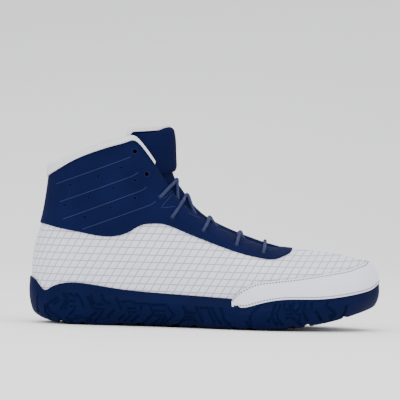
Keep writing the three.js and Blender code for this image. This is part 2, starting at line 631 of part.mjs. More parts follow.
// The binding folds over the top edge: an outer flap, a round fold and an inner flap.
function collarBindingGeometry() {
  const depth = curveThrough(BINDING.map((row) => row.around), BINDING.map((row) => row.depth));
  const side = [...sideStations.filter((share) => share < BINDING_END - 0.01), BINDING_END];
  const stations = [...side.map((share) => -share).reverse(), 0, ...side];
  const outside = PANEL_FACE + CURVED_CLEARANCE;
  const inside = -UPPER_WALL - CURVED_CLEARANCE;
  const outer = [];
  const inner = [];
  stations.forEach((around) => {
    const low = upAtHeight(around, topZ(around) - depth(Math.abs(around)));
    const half = (low + 1) / 2;
    const top = ribbon(around, 1);
    const normal = normalAt(around, 1);
    const rise = ribbon(around, 1).sub(ribbon(around, 0.99)).normalize();
    const fold = (out, up) => top.clone().addScaledVector(normal, out).addScaledVector(rise, up);
    const middle = (outside + inside) / 2;
    inner.push([
      skin(around, low, outside),
      skin(around, half, outside),
      fold(outside, CURVED_CLEARANCE),
      fold(middle, CURVED_CLEARANCE),
      fold(inside, CURVED_CLEARANCE),
      skin(around, half, inside),
      skin(around, low, inside),
    ]);
    outer.push([
      skin(around, low, outside + 0.5 * BINDING_WALL),
      skin(around, half, outside + BINDING_WALL),
      fold(outside + 0.75 * BINDING_WALL, CURVED_CLEARANCE + 0.45 * BINDING_WALL),
      fold(middle, CURVED_CLEARANCE + BINDING_WALL),
      fold(inside - 0.75 * BINDING_WALL, CURVED_CLEARANCE + 0.45 * BINDING_WALL),
      skin(around, half, inside - BINDING_WALL),
      skin(around, low, inside - 0.5 * BINDING_WALL),
    ]);
  });
  return bodyBetween(outer, inner, 'open');
}

// Tongue: "way" runs from its front end (0) to its top (1), "across" from -1 to 1, positive on the
// outer side. The middle bridges the throat over the ridge, the wings lie under the upper's wall.
const TONGUE_CORNER = 0.86;       // way at which the tongue passes the collar's corners
const TONGUE_EDGE = 0.62;         // across at which it passes the throat edge
const UNDER = -UPPER_WALL - TONGUE_CLEARANCE;
function underAt(around) {
  const share = smooth(clamp01((BINDING_END + 0.06 - around) / 0.04));
  return UNDER - share * (BINDING_WALL + CLEARANCE);
}
const wayOf = (around) => TONGUE_CORNER * (1 - around) / (1 - CORNER_AROUND);
const ridgeWays = [0, ...TONGUE_RIDGE.map((row) => wayOf(row.around)), 1];
const ridgeX = curveThrough(
  ridgeWays,
  [topX(1), ...TONGUE_RIDGE.map((row) => alongX(row.along)), alongX(TONGUE_TOP_ALONG)],
);
const ridgeZ = curveThrough(
  ridgeWays,
  [topZ(1) + UNDER, ...TONGUE_RIDGE.map((row) => row.height), COLLAR_HEIGHT + TONGUE_RISE],
);
const halfOutline = outerRows.reduce(
  (length, point, i) => length + point.distanceTo(outerRows[i + 1] ?? toePoint),
  outerRows[0].distanceTo(heelPoint),
);

function atHeight(around, height, out) {
  const top = ribbon(around, 1);
  if (height <= top.z) return skin(around, upAtHeight(around, height), out);
  const rise = top.clone().sub(ribbon(around, 0.97));
  return top.addScaledVector(rise, (height - top.z) / rise.z).addScaledVector(normalAt(around, 1), out);
}
function wing(side, way, reach) {
  const around = 1 - Math.min(way, TONGUE_CORNER) / TONGUE_CORNER * (1 - CORNER_AROUND);
  const past = Math.max(0, way - TONGUE_CORNER) / (1 - TONGUE_CORNER);
  const back = smooth(clamp01((0.56 - around) / 0.12));
  const length = reach * TONGUE_UNDERLAP;
  if (back === 0) {
    const up = 1 - length / ribbon(side * around, 0.8).distanceTo(ribbon(side * around, 1)) * 0.2;
    return skin(side * around, up, underAt(around));
  }
  const place = side * (around - back * length / halfOutline - past * 0.02);
  const edge = topZ(side * around);
  const topHeight = COLLAR_HEIGHT + TONGUE_RISE * (0.82 - 0.75 * reach * reach);
  const drop = length * (1 - back);
  return atHeight(place, mix(edge - drop, topHeight, past), underAt(around) - past * 1.5 * BINDING_WALL);
}
function tonguePoint(way, across) {
  const side = across < 0 ? -1 : 1;
  const reach = Math.abs(across);
  if (reach > TONGUE_EDGE) return wing(side, way, (reach - TONGUE_EDGE) / (1 - TONGUE_EDGE));
  const edge = wing(side, way, 0);
  const heading = edge.clone().sub(wing(side, way, 0.1)).normalize();
  const along = clamp01((ridgeX(way) + LAST_LENGTH / 2) / LAST_LENGTH);
  const ridge = new THREE.Vector3(ridgeX(way), throatCentre(along), ridgeZ(way));
  const span = edge.distanceTo(ridge);
  const t = 1 - reach / TONGUE_EDGE;
  const leave = t * (1 - t) ** 2 * span;
  const arrive = t * t * (t - 1) * span;
  return edge.clone().multiplyScalar((1 + 2 * t) * (1 - t) ** 2)
    .addScaledVector(heading, leave)
    .addScaledVector(ridge, t * t * (3 - 2 * t))
    .addScaledVector(new THREE.Vector3(0, side, 0), arrive);
}
function tongueSkin(way, across, out) {
  const step = 2e-3;
  const from = Math.max(way, step);
  const along = tonguePoint(Math.min(1, from + step), across).sub(tonguePoint(from - step, across));
  const over = tonguePoint(way < step ? step : way, Math.min(1, across + step))
    .sub(tonguePoint(way < step ? step : way, Math.max(-1, across - step)));
  const normal = along.cross(over).normalize();
  return tonguePoint(way, across).addScaledVector(normal, out);
}
function tongueSheet(ways, acrosses, outLow, outHigh) {
  const row = (way, out) => acrosses.map((across) => tongueSkin(way, across, out(way, across)));
  const grid = (out) => ways.map((way) => row(way, out));
  return bodyBetween(grid(outHigh), grid(outLow), 'open');
}
const acrossSteps = (count, reach) => steps(count).map((share) => reach * (2 * share - 1));

function tongueGeometry() {
  const ways = steps(17).map((share) => mix(0.02, 1, share));
  return tongueSheet(ways, acrossSteps(12, 1), () => -TONGUE_WALL, () => 0);
}

// Raised pad on the front of the tongue, and the binding over the tongue's top edge.
const PAD_START = 0.757;
const PAD_END = 0.95;
const PAD_REACH = 0.44;
const TRIM_START = 0.965;         // way at which the tongue's binding begins
const TRIM_REACH = 0.965;
function tonguePadGeometry() {
  const crown = (way, across) => {
    const alongPad = 2 * (way - PAD_START) / (PAD_END - PAD_START) - 1;
    const edge = (1 - alongPad ** 6) * (1 - (across / PAD_REACH) ** 6);
    return TONGUE_FACE_CLEARANCE + PAD_THICKNESS * (0.25 + 0.75 * Math.sqrt(Math.max(0, edge)));
  };
  const ways = steps(9).map((share) => mix(PAD_START, PAD_END, share));
  return tongueSheet(ways, acrossSteps(8, PAD_REACH), () => TONGUE_FACE_CLEARANCE, crown);
}
function tongueBindingGeometry() {
  const outer = [];
  const inner = [];
  const low = TRIM_START;
  acrossSteps(14, TRIM_REACH).reverse().forEach((across) => {
    const front = (way, out) => tongueSkin(way, across, out);
    const rise = tonguePoint(1, across).sub(tonguePoint(0.98, across)).normalize();
    const fold = (out, up) => front(1, out).addScaledVector(rise, up);
    const back = -TONGUE_WALL - CURVED_CLEARANCE;
    inner.push([
      front(low, TONGUE_FACE_CLEARANCE),
      fold(TONGUE_FACE_CLEARANCE, CLEARANCE),
      fold(back, CLEARANCE),
      front(low, back),
    ]);
    outer.push([
      front(low, TONGUE_FACE_CLEARANCE + 0.5 * BINDING_WALL),
      fold(TONGUE_FACE_CLEARANCE + 0.6 * BINDING_WALL, CLEARANCE + 0.7 * BINDING_WALL),
      fold(back - 0.6 * BINDING_WALL, CLEARANCE + 0.7 * BINDING_WALL),
      front(low, back - 0.5 * BINDING_WALL),
    ]);
  });
  return bodyBetween(outer, inner, 'open');
}

// Insole: a thin sheet on the cup's floor, inside the upper's wall.
function insoleGeometry() {
  const edge = (around) => skin(around, 0, -UPPER_WALL - 2 * CLEARANCE);
  const grid = (lift) => steps(22).map((way) => steps(4).map((share) => {
    const point = edge(way).lerp(edge(-way), share);
    point.z = floorAt(point.x) + lift;
    return point;
  }));
  return bodyBetween(grid(CLEARANCE + INSOLE_THICKNESS), grid(CLEARANCE), 'pointed');
}

// Outsole: a cup whose wall climbs round the upper, from the top edge (0) down to the ground (1).
const WALL_PROFILE = [
  { down: 0.00, out: WALL_RIM },
  { down: 0.28, out: WALL_RIM + 0.8 * WALL_BULGE },
  { down: 0.55, out: WALL_RIM + 0.6 * WALL_BULGE },
  { down: 0.80, out: -0.2 * WALL_RIM },
  { down: 0.93, out: -2.6 * WALL_RIM },
  { down: 1.00, out: -5.2 * WALL_RIM },
];
const wallOut = curveThrough(WALL_PROFILE.map((row) => row.down), WALL_PROFILE.map((row) => row.out));
function wallPoint(around, down) {
  const upTop = upAtLine(around, wallLine);
  const top = skin(around, upTop, WALL_RIM + CLEARANCE);
  const endwise = Math.abs(Math.cos(Math.PI * around)) ** 6;
  const swell = wallOut(down) - endwise * WALL_BULGE * Math.sin(Math.PI * Math.min(1, down));
  const point = outlineAt(around, CLEARANCE + swell);
  const foot = outlineAt(around, wallOut(1));
  const settle = clamp01(down / WALL_PROFILE[1].down);
  point.z = mix(top.z, underside(foot.x), down);
  return new THREE.Vector3(
    mix(top.x, point.x, settle),
    mix(top.y, point.y, settle),
    point.z,
  );
}
function wallNormal(around, down) {
  const step = 5e-3;
  const along = wallPoint(around + step, down).sub(wallPoint(around - step, down));
  const rise = wallPoint(around, Math.max(0, down - step)).sub(wallPoint(around, down + step));
  return along.cross(rise).normalize();
}
function cupGeometry() {
  const outer = [];
  const inner = [];
  const stations = [0, ...sideStations.filter((share) => Math.abs(share - CORNER_AROUND) > 0.015), 1];
  stations.forEach((way) => {
    const wall = (side) => WALL_PROFILE.map((row) => wallPoint(side * way, row.down));
    const lining = (side) => {
      const around = side * way;
      const upTop = upAtLine(around, wallLine);
      const points = [1, 0.75, 0.5, 0.25, 0].map((share) => skin(around, share * upTop, CLEARANCE));
      const foot = points[points.length - 1].clone();
      foot.z = floorAt(foot.x);
      points.push(foot);
      return points;
    };
    const across = (one, other, heightAt) => [1 / 3, 2 / 3].map((share) => {
      const point = one.clone().lerp(other, share);
      point.z = heightAt(point.x);
      return point;
    });
    const outside = wall(-1);
    const farOutside = wall(1);
    const inside = lining(-1);
    const farInside = lining(1);
    const last = outside.length - 1;
    outer.push([...outside, ...across(outside[last], farOutside[last], underside), ...farOutside.reverse()]);
    inner.push([...inside, ...across(inside[last], farInside[last], floorAt), ...farInside.reverse()]);
  });
  return bodyBetween(outer, inner, 'pointed');
}

// Ribs of the wall: slanting grooves in a zigzag, from heel to ball on both sides.
function ribCutters() {
  const cutters = [];
  const start = alongX(RIB_START);
  const end = alongX(RIB_END);
  const count = Math.floor((end - start) / RIB_PITCH);
  for (let side = -1; side <= 1; side += 2) {
    for (let i = 0; i <= count; i += 1) {
      const x = start + i * RIB_PITCH;
      const along = (x + LAST_LENGTH / 2) / LAST_LENGTH;
      const { around } = placeAt(side, along, wallLine(x));
      const slant = i % 2 === 0 ? RIB_SLANT : -RIB_SLANT;
      const rise = wallPoint(around, 0.35).sub(wallPoint(around, 0.85));
      const groove = new THREE.BoxGeometry(RIB_WIDTH, rise.length(), 2 * RIB_DEPTH);
      groove.rotateZ(slant);
      const hint = wallPoint(around + 0.01, 0.6).sub(wallPoint(around - 0.01, 0.6));
      cutters.push(solidOf(placed(groove, wallPoint(around, 0.6), wallNormal(around, 0.6), hint)));
    }
  }
  return cutters;
}

// Lugs of the underside: grooves across the sole and one along its middle.
function lugCutters() {
  const cutters = [];
  const start = alongX(LUG_START);
  const end = alongX(LUG_END);
  const count = Math.floor((end - start) / LUG_PITCH);
  for (let i = 0; i <= count; i += 1) {
    const x = start + i * LUG_PITCH;
    const groove = new THREE.BoxGeometry(LUG_GROOVE, 1.5 * BALL_WIDTH, 2 * LUG_DEPTH);
    groove.rotateZ(i % 2 === 0 ? LUG_SLANT : -LUG_SLANT);
    const ahead = new THREE.Vector3(2, 0, underside(x + 1) - underside(x - 1));
    const up = new THREE.Vector3(-ahead.z, 0, ahead.x);
    cutters.push(solidOf(placed(groove, new THREE.Vector3(x, 0, underside(x)), up, ahead)));
  }
  return cutters;
}
function outsoleGeometry() {
  const cup = solidOf(cupGeometry());
  return meshOf(cup.subtract(join([...ribCutters(), ...lugCutters()])));
}

// Lace: a bar between the lowest holes and four crossings, each two strands joined. A strand comes
// from under one throat edge, crosses the tongue and lies on the other side down to its hole.
const LACE_LIFT = LACE_DIAMETER / 2 + 1.1 * TONGUE_FACE_CLEARANCE;
const CROSSINGS = [
  { hole: 2, edge: 0.480, ridge: 0.463, emerge: 0.520 },
  { hole: 3, edge: 0.530, ridge: 0.521, emerge: 0.585 },
  { hole: 4, edge: 0.615, ridge: 0.610, emerge: 0.650 },
  { hole: 5, edge: 0.715, ridge: 0.709, emerge: 0.735 },
];
const BAR = { hole: 6, edge: 0.805, ridge: 0.802 };
const FACE_LIFT = PANEL_FACE + LACE_DIAMETER / 2 + 1.5 * TONGUE_CLEARANCE;
const holeRow = (side, index) => holePlaces[(side > 0 ? 0 : HOLES.length) + index];

function strand(points, segments) {
  const path = new THREE.CatmullRomCurve3(points, false, 'centripetal');
  const section = new THREE.Shape();
  section.absarc(0, 0, LACE_DIAMETER / 2, 0, 2 * Math.PI);
  return new THREE.ExtrudeGeometry(section, {
    steps: segments,
    curveSegments: 4,
    bevelEnabled: false,
    extrudePath: path,
  });
}
function fromHole(side, row) {
  const hole = holeRow(side, row.hole);
  return [
    skin(hole.around, hole.up, FACE_LIFT),
    skin(mix(hole.around, side * row.edge, 0.5), mix(hole.up, 1, 0.5), FACE_LIFT),
    skin(side * row.edge, 1, FACE_LIFT),
    tongueSkin(wayOf(mix(row.edge, row.ridge, 0.6)), side * 0.28, LACE_LIFT + CLEARANCE),
    tongueSkin(wayOf(row.ridge), 0, LACE_LIFT),
  ];
}
function crossStrand(side, row) {
  return strand([
    ...fromHole(side, row),
    tongueSkin(wayOf(mix(row.ridge, row.emerge, 0.5)), -side * 0.2, LACE_LIFT),
    tongueSkin(wayOf(row.emerge), -side * 0.4, LACE_LIFT),
  ], STRAND_STEPS);
}
function crossing(row) {
  return meshOf(solidOf(crossStrand(1, row)).add(solidOf(crossStrand(-1, row))));
}
function barGeometry() {
  return strand([...fromHole(1, BAR), ...fromHole(-1, BAR).reverse().slice(1)], 1.5 * STRAND_STEPS);
}

const navy = { color: 0x12244e, roughness: 0.75, metalness: 0 };
const white = { color: 0xd3d3dc, roughness: 0.7, metalness: 0 };
const offWhite = { color: 0xdedce2, roughness: 0.8, metalness: 0 };
const rubber = { color: 0x101f48, roughness: 0.55, metalness: 0 };
const cord = { color: 0x38486f, roughness: 0.8, metalness: 0 };

const shoe = new THREE.Group();
function addPiece(name, geometry, finish) {
  const mesh = new THREE.Mesh(geometry, new THREE.MeshStandardMaterial(finish));
  mesh.name = name;
  shoe.add(mesh);
}
addPiece('outsole', outsoleGeometry(), rubber);
addPiece('insole', insoleGeometry(), navy);
addPiece('upper', upperGeometry(), white);
addPiece('ankle_panel', anklePanelGeometry(), navy);
addPiece('toe_overlay', toeOverlayGeometry(), white);
addPiece('collar_binding', collarBindingGeometry(), offWhite);
addPiece('tongue', tongueGeometry(), navy);
addPiece('tongue_pad', tonguePadGeometry(), navy);
addPiece('tongue_binding', tongueBindingGeometry(), offWhite);
addPiece('lace_bar_1', barGeometry(), cord);
CROSSINGS.forEach((row) => addPiece(`lace_cross_${HOLES.length - row.hole}`, crossing(row), cord));

// The origin lies on the ground under the middle of the shoe.
const box = new THREE.Box3().setFromObject(shoe);
shoe.position.set(-(box.min.x + box.max.x) / 2, -(box.min.y + box.max.y) / 2, -box.min.z);

export default shoe;
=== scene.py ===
# %% [markdown]
# # A high-top wrestling shoe
# A wrestling shoe is a thin rubber cup with a soft boot sewn into it. Every part of the boot
# follows one form, the last, so this lesson first describes the last as a surface and then lays
# each material over it: rubber, coated textile, suede, leather, tape, padding and cord. The packed
# part is loaded first, because it fixes where everything is.

import math

import bpy
import numpy as np
from mathutils import Matrix, Vector


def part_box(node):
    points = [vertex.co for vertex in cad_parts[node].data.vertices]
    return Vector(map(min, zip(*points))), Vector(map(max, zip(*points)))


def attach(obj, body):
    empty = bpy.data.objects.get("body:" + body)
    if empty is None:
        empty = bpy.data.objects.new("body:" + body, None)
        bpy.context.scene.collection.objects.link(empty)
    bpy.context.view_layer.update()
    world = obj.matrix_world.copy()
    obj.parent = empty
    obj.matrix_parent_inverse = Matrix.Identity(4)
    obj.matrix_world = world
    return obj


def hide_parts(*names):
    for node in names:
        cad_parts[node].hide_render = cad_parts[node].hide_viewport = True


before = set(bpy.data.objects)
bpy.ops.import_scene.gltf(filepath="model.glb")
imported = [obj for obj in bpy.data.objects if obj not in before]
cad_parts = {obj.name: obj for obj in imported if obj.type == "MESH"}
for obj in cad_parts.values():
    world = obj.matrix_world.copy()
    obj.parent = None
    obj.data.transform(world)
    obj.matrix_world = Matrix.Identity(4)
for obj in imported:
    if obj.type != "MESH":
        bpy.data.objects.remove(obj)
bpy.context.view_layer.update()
bpy.ops.object.select_all(action="DESELECT")
print("packed nodes:", ", ".join(sorted(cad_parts)))

# %% [markdown]
# ## Camera
# The picture shows the shoe from its outer side, almost without perspective, so the lens is very
# long and stands far back. The toe hangs a little lower than the heel there: that is a camera held
# at a slight angle, so the camera is rolled and the shoe stays level on its sole.

# %% Place the camera
VIEW_WIDTH = 0.331
LENS = 300
SENSOR_WIDTH = 36
ROLL = math.radians(1.6)
RISE = math.radians(1.0)
aim = Vector((-0.0058, -0.010, 0.105))
picture_right = Vector((math.cos(ROLL), 0, math.sin(ROLL)))
level_up = Vector((-math.sin(ROLL), 0, math.cos(ROLL)))
level_back = Vector((0, -1, 0))
picture_back = level_back * math.cos(RISE) + level_up * math.sin(RISE)
picture_up = level_up * math.cos(RISE) - level_back * math.sin(RISE)
distance = VIEW_WIDTH * LENS / SENSOR_WIDTH
turn = Matrix((picture_right, picture_up, picture_back)).transposed().to_euler()
bpy.ops.object.camera_add(location=aim + picture_back * distance, rotation=turn)
camera = bpy.context.object
camera.data.lens = LENS
camera.data.sensor_width = SENSOR_WIDTH
camera.data.clip_end = 60
bpy.context.scene.camera = camera
print("camera stands", round(distance, 2), "m away")

# %% [markdown]
# ## Studio
# A photographer would use a paper sweep: a floor that rises behind the product in one curve, so
# that no horizon shows. It is a plane whose back edge is extruded along an arc. Large soft lamps
# hang above, in front, at the toe and behind, and the room's own light is pale.

# %% Build the sweep
def plain_material(name, color, roughness, gloss=0.5):
    material = bpy.data.materials.new(name)
    material.use_nodes = True
    shader = material.node_tree.nodes["Principled BSDF"]
    shader.inputs["Base Color"].default_value = (*color, 1)
    shader.inputs["Roughness"].default_value = roughness
    shader.inputs["Specular IOR Level"].default_value = gloss
    return material


def select_where(mesh_object, test):
    """Selects, in edit mode, the vertices of an object whose place passes a test."""
    bpy.ops.object.mode_set(mode="EDIT")
    bpy.ops.mesh.select_mode(type="VERT")
    bpy.ops.mesh.select_all(action="DESELECT")
    bpy.ops.object.mode_set(mode="OBJECT")
    for vertex in mesh_object.data.vertices:
        vertex.select = test(vertex.co)
    bpy.ops.object.mode_set(mode="EDIT")


SWEEP_RADIUS = 1.6
SWEEP_STEPS = 14
SWEEP_HEIGHT = 3
bpy.ops.mesh.primitive_plane_add(size=8, location=(0, -2.6, 0))
sweep = bpy.context.object
sweep.name = "paper_sweep"
select_where(sweep, lambda place: place.y > 3.9)
for step in range(SWEEP_STEPS):
    angle = (step + 0.5) * math.pi / 2 / SWEEP_STEPS
    length = SWEEP_RADIUS * math.pi / 2 / SWEEP_STEPS
    move = (0, length * math.cos(angle), length * math.sin(angle))
    bpy.ops.mesh.extrude_region_move(TRANSFORM_OT_translate={"value": move})
bpy.ops.mesh.extrude_region_move(TRANSFORM_OT_translate={"value": (0, 0, SWEEP_HEIGHT)})
bpy.ops.mesh.select_all(action="SELECT")
bpy.ops.mesh.normals_make_consistent(inside=False)
bpy.ops.object.mode_set(mode="OBJECT")
bpy.ops.object.shade_smooth()
sweep.data.materials.append(plain_material("sweep_paper", (0.97, 0.97, 0.975), 0.9))
print("faces in the sweep:", len(sweep.data.polygons))

# %% Hang the lamps
LAMPS = [
    ("roof_softbox", (0.1, -0.2, 1.7), (0.0, 0.0, 0.05), 2.0, 24),
    ("front_softbox", (-0.9, -1.7, 1.0), (0.0, 0.0, 0.08), 1.4, 22),
    ("toe_softbox", (1.7, -0.7, 0.8), (0.05, 0.0, 0.05), 1.2, 9),
    ("back_softbox", (-0.4, 1.6, 1.3), (0.0, 0.0, 0.08), 1.4, 9),
]
for name, place, target, size, power in LAMPS:
    heading = (Vector(target) - Vector(place)).to_track_quat("-Z", "Y").to_euler()
    bpy.ops.object.light_add(type="AREA", location=place, rotation=heading)
    lamp = bpy.context.object
    lamp.name = name
    lamp.data.shape = "DISK"
    lamp.data.size = size
    lamp.data.energy = power
room = bpy.data.worlds.new("room")
room.use_nodes = True
room.node_tree.nodes["Background"].inputs["Color"].default_value = (0.96, 0.97, 1.0, 1)
room.node_tree.nodes["Background"].inputs["Strength"].default_value = 0.95
bpy.context.scene.world = room
print("lamps:", len(LAMPS))

# %% [markdown]
# ## The last
# The last is the wooden foot that a shoe is made on. Here it is a family of curved ribbons: each
# climbs from the sole's edge to the top edge at one place round the shoe. The tables give, in
# shares of a few named sizes in millimetres, the outline, the top edge and the fullness, and one
# smooth curve runs through the rows of each table. A surface made of functions can be cut into any
# covering piece, and every piece then fits every other.

# %% Sizes of the shoe
LAST_LENGTH = 287.5
BALL_WIDTH = 101
HEEL_WIDTH = 70
COUNTER_HEIGHT = 67
BACK_HEIGHT = 130
COLLAR_HEIGHT = 155
INSTEP_HEIGHT = 91.5
VAMP_HEIGHT = 67.5
COLLAR_WIDTH = 71
THROAT_WIDTH = 34
INNER_COLLAR_RISE = 2.2
FEATHER_INSET = 3.5
HEEL_SWELL = 7
TOE_SWELL = 3
SOLE_THICKNESS = 7
TOE_SPRING = 20.5
HEEL_BEVEL = 8
ARCH_RISE = 1
WALL_HEIGHT = 34.5
WALL_RIM = 1.5
WALL_BULGE = 1.7
UPPER_WALL = 1.8
BINDING_DEPTH = 9.4
TONGUE_WALL = 3.2
TONGUE_RISE = 11
TONGUE_UNDERLAP = 19
LACE_DIAMETER = 2.8
HOLE_DIAMETER = 3.8
CLEARANCE = 0.3
TOE_SWING = 0.062 * BALL_WIDTH
THROAT_SWING = 0.35 * TOE_SWING
BACK_ALONG = 0.048
VAMP_ALONG = 0.7165
SWING_START = 0.45


# %% A smooth curve through the rows of a table
def mix(a, b, t):
    return a + (b - a) * t


def smooth(t):
    return t * t * (3 - 2 * t)


def share(t):
    return np.clip(t, 0, 1)


def along_x(part):
    return (part - 0.5) * LAST_LENGTH


def curve_through(knots, values, period=0.0):
    """A curve with even bending through all rows, closed on itself when a period is given."""
    knots = np.array(knots, float)
    values = np.array(values, float)
    count = len(knots)
    ends = np.append(knots, knots[0] + period) if period else knots
    heights = np.append(values, values[0]) if period else values
    spans = np.diff(ends)
    slopes = np.diff(heights) / spans
    system = np.zeros((count, count))
    pull = np.zeros(count)
    for i in range(count):
        if not period and i in (0, count - 1):
            system[i, i] = 1
            pull[i] = slopes[0] if i == 0 else slopes[-1]
            continue
        before, after = spans[i - 1], spans[i]
        system[i, (i - 1) % count] += after
        system[i, (i + 1) % count] += before
        system[i, i] += 2 * (before + after)
        pull[i] = 3 * (after * slopes[i - 1] + before * slopes[i])
    tangents = np.linalg.solve(system, pull)
    leaving = np.append(tangents, tangents[0]) if period else tangents

    def at(where):
        where = np.asarray(where, float)
        if period:
            where = where - period * np.floor((where - knots[0]) / period)
        where = np.clip(where, ends[0], ends[-1])
        i = np.clip(np.searchsorted(ends, where, side="right") - 1, 0, len(spans) - 1)
        span = spans[i]
        t = (where - ends[i]) / span
        rise = heights[i + 1] - heights[i]
        bend = 3 * rise - span * (2 * leaving[i] + leaving[i + 1])
        twist = -2 * rise + span * (leaving[i] + leaving[i + 1])
        return heights[i] + t * span * leaving[i] + bend * t * t + twist * t**3

    return at


def ring_column(shares, outer, inner, heel, toe):
    """One column round the shoe: from the toe (-1) down the inner side to the heel (0) and back."""
    knots = [-1, *[-x for x in reversed(shares)], 0, *shares]
    values = [toe, *reversed(inner), heel, *outer]
    return curve_through(knots, values, 2)


# %% Outline and sole line
OUTLINE = [
    (0.021, 0.250 * HEEL_WIDTH, 0.243 * HEEL_WIDTH),
    (0.066, 0.405 * HEEL_WIDTH, 0.393 * HEEL_WIDTH),
    (0.135, 0.493 * HEEL_WIDTH, 0.466 * HEEL_WIDTH),
    (0.240, 0.503 * HEEL_WIDTH, 0.451 * HEEL_WIDTH),
    (0.355, 0.522 * HEEL_WIDTH, 0.430 * HEEL_WIDTH),
    (0.459, 0.402 * BALL_WIDTH, 0.328 * BALL_WIDTH),
    (0.563, 0.470 * BALL_WIDTH, 0.393 * BALL_WIDTH),
    (0.667, 0.505 * BALL_WIDTH, 0.462 * BALL_WIDTH),
    (0.765, 0.486 * BALL_WIDTH, 0.484 * BALL_WIDTH),
    (0.854, 0.418 * BALL_WIDTH, 0.446 * BALL_WIDTH),
    (0.927, 0.292 * BALL_WIDTH, 0.361 * BALL_WIDTH),
    (0.977, 0.122 * BALL_WIDTH, 0.228 * BALL_WIDTH),
]
heel_point = (along_x(0), 0.0)
toe_point = (along_x(1), TOE_SWING)
outer_rows = [(along_x(row[0]), -row[1]) for row in OUTLINE]
inner_rows = [(along_x(row[0]), row[2]) for row in OUTLINE]


def chord_shares(points):
    steps = np.hypot(*np.diff(np.array(points), axis=0).T)
    reach = np.cumsum(steps)
    return list(reach[:-1] / reach[-1]), reach[-1]


outer_shares, half_outline = chord_shares([heel_point, *outer_rows, toe_point])
inner_shares, _ = chord_shares([heel_point, *inner_rows, toe_point])
outline_knots = [-1, *[-x for x in reversed(inner_shares)], 0, *outer_shares]
outline_points = [toe_point, *reversed(inner_rows), heel_point, *outer_rows]
outline_x = curve_through(outline_knots, [point[0] for point in outline_points], 2)
outline_y = curve_through(outline_knots, [point[1] for point in outline_points], 2)


def outline_at(around, out):
    step = 1e-4
    dx = outline_x(around + step) - outline_x(around - step)
    dy = outline_y(around + step) - outline_y(around - step)
    size = np.hypot(dx, dy)
    return outline_x(around) + out * dy / size, outline_y(around) - out * dx / size


def spring_at(x):
    toe = share((x - along_x(0.64)) / (along_x(1) - along_x(0.64)))
    heel = share((along_x(0.131) - x) / (along_x(0.131) - along_x(0)))
    return TOE_SPRING * toe**1.9 + HEEL_BEVEL * heel**2


def underside(x):
    arch = share((x - along_x(0.2)) / (along_x(0.545) - along_x(0.2)))
    return spring_at(x) + ARCH_RISE * np.sin(np.pi * arch) ** 2


def floor_at(x):
    return SOLE_THICKNESS + 0.85 * spring_at(x)


print("outline on the outer side:", round(half_outline, 1), "mm")

# %% Top edge and fullness
collar_rise = lambda part: mix(BACK_HEIGHT, COLLAR_HEIGHT, part)
shin_rise = lambda part: mix(INSTEP_HEIGHT, COLLAR_HEIGHT, part)
throat_rise = lambda part: mix(VAMP_HEIGHT, INSTEP_HEIGHT, part)
TOP_EDGE = [
    (0.054, 0.056, collar_rise(0.030), 0.190 * COLLAR_WIDTH),
    (0.106, 0.090, collar_rise(0.165), 0.335 * COLLAR_WIDTH),
    (0.169, 0.139, collar_rise(0.430), 0.450 * COLLAR_WIDTH),
    (0.259, 0.228, collar_rise(0.805), 0.500 * COLLAR_WIDTH),
    (0.312, 0.268, collar_rise(0.955), 0.476 * COLLAR_WIDTH),
    (0.334, 0.286, collar_rise(0.990), 0.457 * COLLAR_WIDTH),
    (0.350, 0.300, shin_rise(0.950), 0.437 * COLLAR_WIDTH),
    (0.368, 0.312, shin_rise(0.885), 0.418 * COLLAR_WIDTH),
    (0.400, 0.334, shin_rise(0.745), 0.384 * COLLAR_WIDTH),
    (0.450, 0.371, shin_rise(0.475), 0.333 * COLLAR_WIDTH),
    (0.500, 0.405, shin_rise(0.262), 0.617 * THROAT_WIDTH),
    (0.545, 0.437, shin_rise(0.120), 0.548 * THROAT_WIDTH),
    (0.590, 0.476, throat_rise(0.980), 0.488 * THROAT_WIDTH),
    (0.635, 0.521, throat_rise(0.690), 0.440 * THROAT_WIDTH),
    (0.680, 0.565, throat_rise(0.450), 0.400 * THROAT_WIDTH),
    (0.720, 0.602, throat_rise(0.270), 0.370 * THROAT_WIDTH),
    (0.762, 0.635, throat_rise(0.125), 0.345 * THROAT_WIDTH),
    (0.802, 0.663, throat_rise(0.025), 0.312 * THROAT_WIDTH),
    (0.840, 0.684, throat_rise(-0.035), 0.268 * THROAT_WIDTH),
    (0.880, 0.700, throat_rise(-0.045), 0.200 * THROAT_WIDTH),
    (0.940, 0.712, throat_rise(-0.015), 0.100 * THROAT_WIDTH),
]
SHOULDER = [
    (0.000, 1.12 * COUNTER_HEIGHT, 1.12 * COUNTER_HEIGHT, 0.73),
    (0.110, 1.07 * COUNTER_HEIGHT, 1.07 * COUNTER_HEIGHT, 0.46),
    (0.260, 0.97 * COUNTER_HEIGHT, 0.99 * COUNTER_HEIGHT, 0.10),
    (0.360, 0.93 * COUNTER_HEIGHT, 0.97 * COUNTER_HEIGHT, 0.12),
    (0.450, 0.89 * COUNTER_HEIGHT, 0.95 * COUNTER_HEIGHT, 0.10),
    (0.545, 0.86 * VAMP_HEIGHT, 0.95 * VAMP_HEIGHT, 0.10),
    (0.635, 0.79 * VAMP_HEIGHT, 0.89 * VAMP_HEIGHT, 0.09),
    (0.720, 0.73 * VAMP_HEIGHT, 0.83 * VAMP_HEIGHT, 0.06),
    (0.802, 0.71 * VAMP_HEIGHT, 0.80 * VAMP_HEIGHT, 0.03),
    (0.880, 0.75 * VAMP_HEIGHT, 0.82 * VAMP_HEIGHT, 0),
    (0.940, 0.83 * VAMP_HEIGHT, 0.86 * VAMP_HEIGHT, 0),
    (1.000, 0.905 * VAMP_HEIGHT, 0.905 * VAMP_HEIGHT, 0),
]
